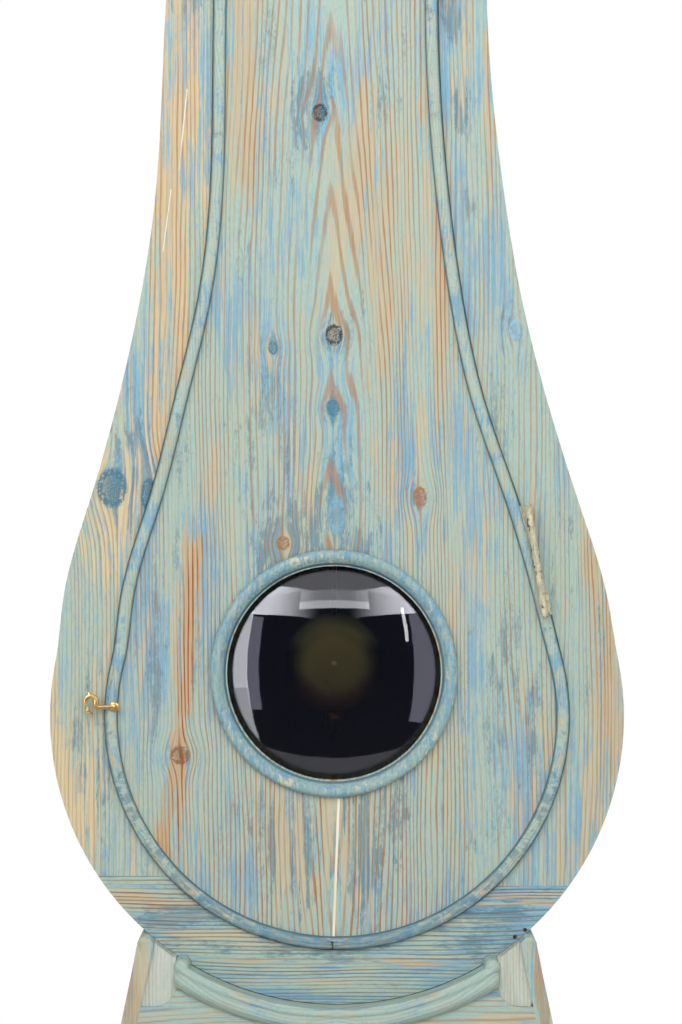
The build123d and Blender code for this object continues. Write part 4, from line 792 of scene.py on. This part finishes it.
class CLOCK_OT_frame(ClockStep, bpy.types.Operator):
    """Finish the stiles, rails, side boards and back board"""
    bl_idname = "clock.frame"
    bl_label = "Case Boards"

    def execute(self, context):
        dark = linear(58, 112, 134)
        chalk = linear(232, 222, 198)
        left = woods(
            "left_stile_pine", seed=3.0, heart=(-0.31, 0.9), spread=0.02, cover=0.64, lines=0.42,
            raw_behind=FRAME_BACK, wood=linear(208, 194, 160),
            knots=[(-0.225, 0.872, 0.013, 1.3, dark), (-0.196, 0.866, 0.009, 1.5, dark)],
            worn=[(-0.165, 1.34, -0.170, 0.95, 0.026, 0.6, 0.40)],
            cracks=[(-0.150, 1.27, -0.158, 1.19, 0.0010, chalk), (-0.166, 1.17, -0.174, 1.11, 0.0009, chalk)],
            stains=[(-0.21, 0.87, 0.045, 1.0), (-0.15, 1.36, 0.02, 0.9), (-0.22, 0.60, 0.06, 0.6)],
        )
        # The dark patches beside the door's right edge are a painted shadow of the door.
        right = woods(
            "right_stile_pine", seed=4.0, heart=(0.33, 0.9), spread=0.02, cover=0.72, lines=0.5,
            raw_behind=FRAME_BACK, knots=[(0.178, 1.030, 0.005, 1.8, linear(140, 182, 212))],
            worn=[(0.26, 0.80, 0.275, 0.60, 0.016, 0.5, 0.5), (0.152, 1.32, 0.160, 1.12, 0.008, 0.6, 0.4)],
            stains=[(0.118, 1.34, 0.020, 1.0), (0.122, 1.25, 0.016, 1.0), (0.128, 1.16, 0.014, 0.9),
                    (0.21, 0.80, 0.04, 0.5)],
        )
        rail = woods(
            "bottom_rail_pine", direction="level", seed=5.0, heart=(0.56, 0.0), spread=0.02, pitch=0.0042,
            cover=0.74, blueness=0.6, lines=0.7, grain=linear(118, 100, 88), raw_behind=FRAME_BACK,
            worn=[(0.395, -0.09, 0.392, 0.09, 0.008, 0.9, 0.5), (0.46, -0.20, 0.45, -0.15, 0.010, 0.9, 0.4),
                  (0.47, 0.17, 0.46, 0.22, 0.008, 0.9, 0.4)],
            stains=[(0.43, -0.17, 0.035, 0.8), (0.43, 0.17, 0.04, 0.8), (0.425, 0.0, 0.05, 0.5)],
        )
        top = woods("top_rail_pine", direction="level", seed=6.0, heart=(1.52, 0.3), cover=0.7)
        # The faces of the side boards that look into the case get painted shade.
        side = woods("side_board_pine", direction="side", seed=7.0, heart=(0.0, 0.6), spread=0.04, cover=0.7,
                     smoked="inside")
        raw = woods("raw_pine", seed=8.0, heart=(0.0, 1.0), **BARE, relief=0.0002,
                    wood=linear(150, 120, 84), grain=linear(104, 76, 48))
        # The back board's face towards the front, inside the case, gets painted shade.
        back = woods("smoked_pine", seed=8.5, heart=(0.0, 1.0), **BARE, relief=0.0002, smoked="front",
                     wood=linear(132, 102, 70), grain=linear(86, 62, 40))
        dress(left, "left_stile")
        dress(right, "right_stile")
        dress(rail, "bottom_rail")
        dress(top, "top_rail", "waist_cornice")
        smooth_copy(side, "waist_side_boards")
        dress(back, "backboard")
        dress(raw, "movement_seat")
        iron = metal_material("nail_iron", linear(110, 96, 88), linear(62, 44, 36), 0.7, 500.0, 0.7)
        dress(iron, "rail_nails")
        return {"FINISHED"}


class CLOCK_OT_base(ClockStep, bpy.types.Operator):
    """Finish the base, its ear posts, the plinth and the crescent moulding"""
    bl_idname = "clock.base"
    bl_label = "Base"

    def execute(self, context):
        front = woods("base_front_pine", direction="level", seed=10.0, heart=(0.30, 0.0), spread=0.05,
                      cover=0.76, blueness=0.55, lines=0.5, stains=[(0.335, 0.0, 0.05, 0.6)])
        sides = woods("base_side_pine", direction="side", seed=11.0, heart=(0.2, 0.2), cover=0.62)
        notch = linear(70, 74, 66)
        ears = woods(
            "ear_post_pine", seed=12.0, heart=(0.3, 0.2), spread=0.01, pitch=0.0034, cover=0.80,
            blueness=0.25, lines=0.25,
            pale=linear(190, 200, 190), blue=linear(160, 186, 204), deep=linear(120, 150, 156),
            cracks=[(-0.200, 0.362, -0.196, 0.352, 0.0022, notch),
                    (0.195, 0.362, 0.193, 0.350, 0.0020, notch)],
        )
        plinth = woods("plinth_pine", direction="level", seed=13.0, heart=(0.2, 0.2), cover=0.7,
                       blueness=0.45)
        # The crescent's foot gets painted shade where it meets the base front.
        crescent = woods(
            "crescent_pine", direction="bell", seed=14.0, heart=(0.2, 0.2), spread=0.01, pitch=0.004,
            cover=0.84, blueness=0.35, pale=linear(160, 188, 180), foot=(-0.1185, -0.1160), lines=0.3,
            stains=[(0.36, 0.0, 0.3, 0.5)], shrink=3.0,
        )
        dress(front, "base_front")
        smooth_copy(sides, "base_sides")
        smooth_copy(ears, "ear_posts")
        dress(plinth, "plinth")
        moulding = smooth_copy(crescent, "crescent_moulding")
        low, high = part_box("crescent_moulding")
        end = [(radius, low.y + depth) for radius, depth in CRESCENT_END]
        end = rounded(end + [(end[-1][0], high.y)])
        tips = [lathe(end, side * (high.x - 0.0062), high.z - 0.0025, 32) for side in (-1, 1)]
        whole = joined(moulding.data, *tips)
        whole.materials.append(crescent)
        whole.set_sharp_from_angle(angle=math.radians(32))
        moulding.data = whole
        return {"FINISHED"}


class CLOCK_OT_bead(ClockStep, bpy.types.Operator):
    """Finish the bead that runs round the door"""
    bl_idname = "clock.bead"
    bl_label = "Door Bead"

    def execute(self, context):
        # The bead's foot gets painted shade, and the bead is darker towards its bottom.
        bead = woods(
            "bead_pine", direction="bell", seed=15.0, heart=(0.3, 0.0), spread=0.01, pitch=0.003, cover=0.80,
            blueness=0.5, pale=linear(164, 188, 178), foot=(-0.1222, -0.1196), lines=0.25, shrink=5.0,
            stains=[(0.29, -2.0, 1.1, 1.0)],
        )
        made = smooth_copy(bead, "door_bead", turn=50.0)
        shape = bmesh.new()
        shape.from_mesh(made.data)
        shape.normal_update()
        for corner in shape.verts:
            away = Vector((corner.co.x, 0, min(corner.co.z - BELLY_CENTRE, 0)))
            if corner.normal.dot(away) > 0:
                corner.co += Vector((corner.normal.x, 0, corner.normal.z)) * BEAD_SWELL
        settle(shape, made.data)
        return {"FINISHED"}


class CLOCK_OT_window(ClockStep, bpy.types.Operator):
    """Make the turned window ring"""
    bl_idname = "clock.window"
    bl_label = "Window Ring"

    def execute(self, context):
        x, z = WINDOW_CENTRE.x, WINDOW_CENTRE.z
        door_face = PANEL_LOW.y
        crown = WINDOW_LOW.y
        clear = looks().window_radius
        profile = [(RING_RADIUS, door_face)]
        profile += [(RING_RADIUS - inwards, crown + depth) for inwards, depth in RING_FACE]
        profile += [(clear, crown + 0.0106), (clear, crown + REBATE_DEPTH)]
        foot = RING_RADIUS - 0.0105
        rebate = [(clear + REBATE_WIDTH, crown + REBATE_DEPTH), (clear + REBATE_WIDTH, WINDOW_HIGH.y),
                  (foot, WINDOW_HIGH.y), (foot, door_face)]
        # The ring's foot gets painted shade: a dark line where it meets the door.
        paint = woods(
            "window_ring_paint", seed=16.0, heart=(x + 0.2, z), spread=0.01, pitch=0.0042, cover=0.84,
            blueness=0.62, lines=0.1, pale=linear(128, 164, 168), blue=linear(104, 154, 178),
            deep=linear(26, 62, 78), wood=linear(200, 200, 174), relief=0.0003,
            foot=(door_face - 0.0044, door_face - 0.0022), stains=[(x, z, 0.5, 1.0)], shrink=9.0,
        )
        finish_piece("window_ring_turned", lathe(rounded(profile, 1) + rebate, x, z), paint, "window_ring")
        return {"FINISHED"}


class CLOCK_OT_glass(ClockStep, bpy.types.Operator):
    """Make the domed window glass and finish the flat glass of the hood door"""
    bl_idname = "clock.glass"
    bl_label = "Glasses"

    def execute(self, context):
        low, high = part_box("window_glass")
        radius = (high.x - low.x) / 2
        rise = looks().glass_rise
        thick = high.y - low.y - rise
        ball = (radius ** 2 + rise ** 2) / (2 * rise)
        middle = low.y + ball
        steps = 24
        angles = [math.asin(radius / ball) * number / steps for number in range(steps + 1)]

        def shell(reach):
            """Section of a round shell from its crown to its rim."""
            return [(reach * math.sin(angle), middle - reach * math.cos(angle)) for angle in angles]

        dome = lathe(shell(ball) + shell(ball - thick)[::-1], WINDOW_CENTRE.x, WINDOW_CENTRE.z, 160, 60.0)
        finish_piece("window_glass_dome", dome, glass_material("window_glass_clear"), "window_glass")
        dress(glass_material("hood_glass_clear"), "hood_door_glass")
        return {"FINISHED"}


class CLOCK_OT_hinges(ClockStep, bpy.types.Operator):
    """Finish the painted barrel hinges"""
    bl_idname = "clock.hinges"
    bl_label = "Hinges"

    def execute(self, context):
        made, shader, place = new_material("hinge_cream_paint")
        dirt = noise(place * (300, 300, 120), detail=5.0, roughness=0.7)
        chip = noise(place * (160, 160, 60), detail=6.0, roughness=0.75)
        colour = mix(step(dirt, 0.3, 0.7), linear(208, 200, 166), linear(150, 148, 126))
        colour = mix(step(chip, 0.57, 0.61), colour, linear(84, 66, 52))
        surface(shader, colour, step(dirt, 0.2, 0.8, 0.45, 0.7), dirt, 0.0002)
        smooth_copy(made, "hinge_door_leaves", "hinge_frame_leaves", "hood_hinge_frame_leaf")
        return {"FINISHED"}


class CLOCK_OT_latch(ClockStep, bpy.types.Operator):
    """Finish the brass cabin hook, its screw and the staple"""
    bl_idname = "clock.latch"
    bl_label = "Cabin Hook"

    def execute(self, context):
        settings = looks()
        brass = metal_material(
            "hook_brass", tuple(settings.brass), tuple(settings.tarnish), 0.42, 420.0, 0.75)
        smooth_copy(brass, "hook_screw", "latch_staple", "hood_door_fittings")

        low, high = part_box("latch_hook")
        depth = (low.y + high.y) / 2
        eye, bow = 0.0048, 0.0056
        pivot_x, pivot_z = high.x - eye, low.z + 0.0045
        bow_x, bow_z = low.x + 0.0112, pivot_z + 0.0052

        def at(x, z, share):
            """Point of the rod, with a share of its thickness."""
            return (x, depth, z, share)

        bar = [at(pivot_x - 0.002, pivot_z, 1.1), at(bow_x + 0.007, pivot_z - 0.0006, 0.9),
               at(bow_x + 0.0062, pivot_z + 0.001, 1.0)]
        for number in range(11):
            angle = math.radians(-25 + 24 * number)
            bar.append(at(bow_x + bow * math.cos(angle), bow_z + bow * math.sin(angle), 1.25 - 0.05 * number))
        spur = [at(bow_x - 0.001, bow_z + bow, 1.0), at(bow_x - 0.002, bow_z + bow + 0.004, 0.35)]
        tail = [at(bow_x - 0.002, bow_z - bow, 0.8), at(bow_x - 0.003, pivot_z - 0.004, 0.9)]
        rods = grow("hook_bar", path_curve("hook_path", bar, spur, tail), "bar along path",
                    Thickness=0.0024, Sides=12, Material=brass)
        disc = [(0.0, low.y - 0.0006), (0.0036, low.y - 0.0004), (eye, low.y + 0.0006), (eye, high.y),
                (0.0, high.y)]
        hook = joined(rods, lathe(disc, pivot_x, pivot_z, 32))
        finish_piece("latch_hook_turned", hook, brass, "latch_hook")
        return {"FINISHED"}


class CLOCK_OT_hood(ClockStep, bpy.types.Operator):
    """Finish the hood, its cornice, crest and round glazed door"""
    bl_idname = "clock.hood"
    bl_label = "Hood"

    def execute(self, context):
        x = DIAL_CENTRE.x
        front = woods("hood_front_pine", seed=17.0, heart=(x, 1.6), spread=0.05, cover=0.62)
        wrap = woods("hood_side_pine", direction="over the top", seed=18.0, heart=(0.3, 1.6), cover=0.62)
        moulding = woods("hood_moulding_pine", direction="level", seed=19.0, heart=(1.7, 0.4), cover=0.74)
        ring = woods("hood_ring_pine", seed=20.0, heart=(x + 0.3, 1.6), cover=0.74, blueness=0.62)
        dress(front, "hood_front")
        smooth_copy(wrap, "hood_wrap")
        smooth_copy(moulding, "hood_base", "hood_cornice", "hood_crest")
        smooth_copy(ring, "hood_door_ring")
        return {"FINISHED"}


class CLOCK_OT_dial(ClockStep, bpy.types.Operator):
    """Paint the dial and set its minute marks, numerals and hands"""
    bl_idname = "clock.dial"
    bl_label = "Dial"

    def execute(self, context):
        made, shader, place = new_material("dial_cream_paint")
        cloud = noise(place * (14, 14, 14), detail=6.0, roughness=0.65)
        crackle = wired(
            "ShaderNodeTexVoronoi", {"Vector": place, "Scale": 130.0}, "Distance", feature="DISTANCE_TO_EDGE")
        line = step(crackle, 0.0, 0.035, 0.35, 0.0)
        reach = calc("DISTANCE", place * (1, 0, 1), (DIAL_CENTRE.x, 0, DIAL_CENTRE.z))
        colour = mix(step(cloud, 0.35, 0.75), linear(232, 226, 206), linear(206, 194, 162))
        colour = mix(step(reach, 0.11, 0.145) * 0.5, colour, linear(176, 158, 122))
        colour = mix(line, colour, linear(104, 84, 60))
        surface(shader, colour, step(cloud, 0.2, 0.8, 0.35, 0.6), line * -1.0, 0.0002)
        dress(made, "dial")

        black = metal_material("numeral_black", linear(34, 32, 30), linear(60, 54, 46), 0.3, 500.0, 0.0)
        centre = Vector((DIAL_CENTRE.x, DIAL_LOW.y, DIAL_CENTRE.z))
        empty = bpy.data.meshes.new("marks")
        work = [
            grow("minute_marks", empty, "ring of marks", Centre=centre, Count=count, Radius=radius,
                 Size=Vector(size), Material=black)
            for count, radius, size in DIAL_MARKS
        ]
        for hour in range(1, 13):
            text = bpy.data.curves.new("numeral", "FONT")
            text.body = str(hour)
            text.size = looks().numeral_height * 1.35
            text.align_x = "CENTER"
            text.align_y = "CENTER"
            text.extrude = 0.00015
            mesh = plain_mesh(link("numeral", text))
            angle = math.radians(30 * hour)
            spot = centre + Vector((math.sin(angle), 0, math.cos(angle))) * NUMERAL_CIRCLE
            mesh.transform(Matrix.Translation(spot) @ Matrix.Rotation(math.pi / 2, 4, "X"))
            work.append(mesh)
        whole = joined(*work)
        whole.name = "dial_numerals"
        whole.materials.append(black)
        piece = link("dial_numerals", whole)
        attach(piece, BODY_OF["dial"])
        hands = metal_material("hand_black", linear(46, 44, 44), linear(84, 66, 52), 0.35, 500.0, 0.6)
        smooth_copy(hands, "hour_hand", "minute_hand")
        return {"FINISHED"}


class CLOCK_OT_movement(ClockStep, bpy.types.Operator):
    """Finish the plates, wheels, bell and hammer of the movement"""
    bl_idname = "clock.movement"
    bl_label = "Movement"

    def execute(self, context):
        brass = metal_material("wheel_brass", linear(214, 172, 96), linear(140, 104, 56), 0.45, 160.0)
        steel = metal_material("polished_steel", linear(176, 178, 180), linear(104, 98, 92), 0.45, 220.0)
        bell = metal_material("bell_bronze", linear(204, 174, 112), linear(126, 98, 62), 0.5, 90.0)
        smooth_copy(
            brass, "movement_plates", "back_cock_and_bell_stand", "centre_wheel", "escape_wheel",
            "third_wheel", "fly", "going_barrel", "strike_barrel", "pin_wheel", "warning_wheel", "hour_wheel",
            "minute_wheel", turn=28.0,
        )
        smooth_copy(steel, "hammer", "pallet_anchor")
        dress(steel, "suspension_spring")
        smooth_copy(bell, "bell")
        return {"FINISHED"}


class CLOCK_OT_pendulum(ClockStep, bpy.types.Operator):
    """Finish the brass pendulum bob and its rod"""
    bl_idname = "clock.pendulum"
    bl_label = "Pendulum"

    def execute(self, context):
        brass, shader, place = new_material("bob_brass")
        patina = place_group(
            "patina", place, Bright=linear(112, 100, 50), Dull=linear(84, 56, 26), Amount=0.5, Scale=16.0)
        reach = calc("DISTANCE", place * (1, 0, 1), BOB_CENTRE)
        _, _, rise = split(place)
        # Painted shade from the rim inwards, then a painted highlight arc at the top and a warmer, browner
        # arc at the foot.
        lit = step(reach, 0.030, 0.042) * step(rise, 0.700, 0.722, 0.0, 0.5)
        warm = step(reach, 0.020, 0.042) * step(rise, 0.680, 0.655, 0.0, 0.5)
        colour = mix(step(reach, 0.026, 0.050), patina["Color"], linear(22, 18, 12))
        colour = mix(warm, mix(lit, colour, linear(150, 144, 84)), linear(104, 66, 32))
        surface(shader, colour, step(reach, 0.0, 0.05, 0.42, 0.6), patina["Height"], 0.00005)
        shader.inputs["Metallic"].default_value = 1.0
        steel = metal_material("rod_steel", linear(84, 80, 76), linear(48, 40, 34), 0.5, 220.0)
        smooth_copy(brass, "pendulum_bob", turn=60.0)
        smooth_copy(steel, "pendulum_rod", turn=60.0)
        return {"FINISHED"}


class CLOCK_OT_weights(ClockStep, bpy.types.Operator):
    """Finish the weights and pulleys and run the gut lines from drum to seat board"""
    bl_idname = "clock.weights"
    bl_label = "Weights and Lines"

    def execute(self, context):
        iron = metal_material("cast_iron", linear(78, 76, 76), linear(92, 60, 44), 0.45, 90.0, 0.5, 0.0004)
        brass = metal_material("pulley_brass", linear(200, 160, 88), linear(128, 94, 50), 0.5, 260.0)
        smooth_copy(iron, "going_weight", "strike_weight")
        smooth_copy(brass, "going_pulley", "strike_pulley")

        gut, shader, place = new_material("gut_line")
        twist = noise(place * (1200, 1200, 500))
        colour = mix(twist, linear(176, 140, 90), linear(112, 80, 46))
        surface(shader, colour, step(twist, 0.3, 0.7, 0.45, 0.6), twist, 0.0001)
        _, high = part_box("weight_lines")
        for name in ("going", "strike"):
            wheel_low, wheel_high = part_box(name + "_pulley")
            middle = (wheel_low + wheel_high) / 2
            run = [(middle.x - LINE_REACH, middle.y, high.z, 1.0)]
            for number in range(25):
                angle = math.pi * number / 24
                x, z = middle.x - LINE_REACH * math.cos(angle), middle.z - LINE_REACH * math.sin(angle)
                run.append((x, middle.y, z, 1.0))
            run.append((middle.x + LINE_REACH, middle.y, LINE_END, 1.0))
            line = grow(name + "_line", path_curve(name + "_path", run), "bar along path",
                        Thickness=LINE_THICKNESS, Sides=10, Material=gut)
            line.name = name + "_line"
            made = link(name + "_line", line)
            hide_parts("weight_lines")
            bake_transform(made)
        return {"FINISHED"}


def softbox(name, turn, low, high, width, share, tint, mirrored=True, far=3.2, fade=0):
    """Upright lamp at a turn seen from the window, between two heights above it.

    It is either seen mirrored in the glass, or lights the room. Fade is the side, -1 or 1, at which it
    dims."""
    data = bpy.data.lights.new(name, "AREA")
    data.shape = "RECTANGLE"
    data.size = width
    data.size_y = high - low
    data.energy = looks().light * share * math.pi * data.size * data.size_y
    data.color = tint
    if fade:
        data.use_nodes = True
        tree = data.node_tree
        across = split(source(tree, "ShaderNodeNewGeometry", "Parametric"))[0]
        lamp = next(node for node in tree.nodes if node.type == "EMISSION")
        limits = (0.0, 0.8) if fade < 0 else (1.0, 0.2)
        feed(tree, lamp.inputs["Strength"], step(across, *limits))
    held = link(name, data)
    angle = math.radians(turn)
    held.location = (far * math.sin(angle), -far * math.cos(angle), WINDOW_CENTRE.z + (low + high) / 2)
    held.rotation_euler = (math.pi / 2, 0, angle)
    held.visible_glossy = mirrored
    held.visible_transmission = mirrored
    held.visible_diffuse = not mirrored


def build_floor():
    """Pale floor that melts into the backdrop and isn't mirrored in the clock."""
    mesh = bpy.data.meshes.new("studio_floor")
    corners = [(-4, -4, 0), (4, -4, 0), (4, 4, 0), (-4, 4, 0)]
    mesh.from_pydata(corners, [], [(0, 1, 2, 3)])
    floor = link("studio_floor", mesh)
    made, shader, place = new_material("floor_pale")
    tree = made.node_tree
    tone = noise(place * (3, 3, 3), detail=3.0)
    colour = mix(tone, linear(232, 231, 228), linear(238, 237, 234))
    surface(shader, colour, step(tone, 0.3, 0.7, 0.7, 0.85))
    far = step(calc("LENGTH", place), 0.45, 1.2, 0.35, 1.0)
    seen = far * source(tree, "ShaderNodeLightPath", "Is Camera Ray")
    mirrored = source(tree, "ShaderNodeLightPath", "Is Glossy Ray")
    shown = Wire(tree, shader.outputs[0])
    for share, kind in ((seen, "ShaderNodeEmission"), (mirrored, "ShaderNodeBsdfTransparent")):
        shown = wired("ShaderNodeMixShader", {0: share, 1: shown, 2: source(tree, kind)})
    out = next(node for node in tree.nodes if node.type == "OUTPUT_MATERIAL")
    feed(tree, out.inputs[0], shown)
    mesh.materials.append(made)


def build_room():
    """World that is white to the camera, dim to the boards, and dim and blue where the glass mirrors it."""
    world = bpy.data.worlds.new("soft_room")
    bpy.context.scene.world = world
    world.use_nodes = True
    tree = world.node_tree
    tree.nodes.clear()
    glossy, through, camera = (
        source(tree, "ShaderNodeLightPath", f"Is {kind} Ray")
        for kind in ("Glossy", "Transmission", "Camera")
    )
    _, ahead, _ = split(source(tree, "ShaderNodeTexCoord", "Generated"))
    clear = calc("MAXIMUM", glossy, through)
    mirrored = step(ahead, 0.0, 0.2, ROOM_MIRRORED, 1.0)
    strength = (1.0 - clear) * ROOM_FILL + clear * mirrored
    strength = (1.0 - camera) * strength + camera
    tint = mix(clear * calc("LESS_THAN", mirrored, 0.5), (1, 1, 1, 1), (0.55, 0.62, 1.0, 1))
    room = wired("ShaderNodeBackground", {"Color": tint, "Strength": strength})
    feed(tree, add(tree, "ShaderNodeOutputWorld").inputs[0], room)


class CLOCK_OT_stage(ClockStep, bpy.types.Operator):
    """Set the floor, the soft lamps and the camera"""
    bl_idname = "clock.stage"
    bl_label = "Stage"

    def execute(self, context):
        scene = context.scene
        scene.view_settings.view_transform = "Standard"
        build_floor()
        build_room()
        for lamp in LAMPS:
            softbox(*lamp)
        camera_data = bpy.data.cameras.new("view")
        camera_data.lens = CAMERA_LENS
        camera = link("view", camera_data)
        camera.location = CAMERA_PLACE
        camera.rotation_euler = (math.pi / 2, 0, 0)
        scene.camera = camera
        return {"FINISHED"}


OPERATORS = (
    CLOCK_OT_effects, CLOCK_OT_stage, CLOCK_OT_door, CLOCK_OT_frame, CLOCK_OT_base, CLOCK_OT_bead,
    CLOCK_OT_window, CLOCK_OT_glass, CLOCK_OT_hinges, CLOCK_OT_latch, CLOCK_OT_hood, CLOCK_OT_dial,
    CLOCK_OT_movement, CLOCK_OT_pendulum, CLOCK_OT_weights,
)


class CLOCK_PT_panel(bpy.types.Panel):
    """Sizes, colours and steps of the clock"""
    bl_label = "Clock"
    bl_idname = "CLOCK_PT_panel"
    bl_space_type = "VIEW_3D"
    bl_region_type = "UI"
    bl_category = "Clock"

    def draw(self, context):
        settings = context.scene.clock_looks
        column = self.layout.column(align=True)
        for name in settings.bl_rna.properties.keys():
            if name not in ("rna_type", "name"):
                column.prop(settings, name)
        column = self.layout.column(align=True)
        for operator in OPERATORS:
            column.operator(operator.bl_idname)


CLASSES = (CLOCK_PG_looks, *OPERATORS, CLOCK_PT_panel)


def register():
    for cls in CLASSES:
        bpy.utils.register_class(cls)
    bpy.types.Scene.clock_looks = bpy.props.PointerProperty(type=CLOCK_PG_looks)


def unregister():
    del bpy.types.Scene.clock_looks
    for cls in reversed(CLASSES):
        bpy.utils.unregister_class(cls)


def main():
    """Make the whole clock."""
    register()
    for operator in OPERATORS:
        getattr(bpy.ops.clock, operator.bl_idname.split(".")[1])()


if __name__ == "__main__":
    main()
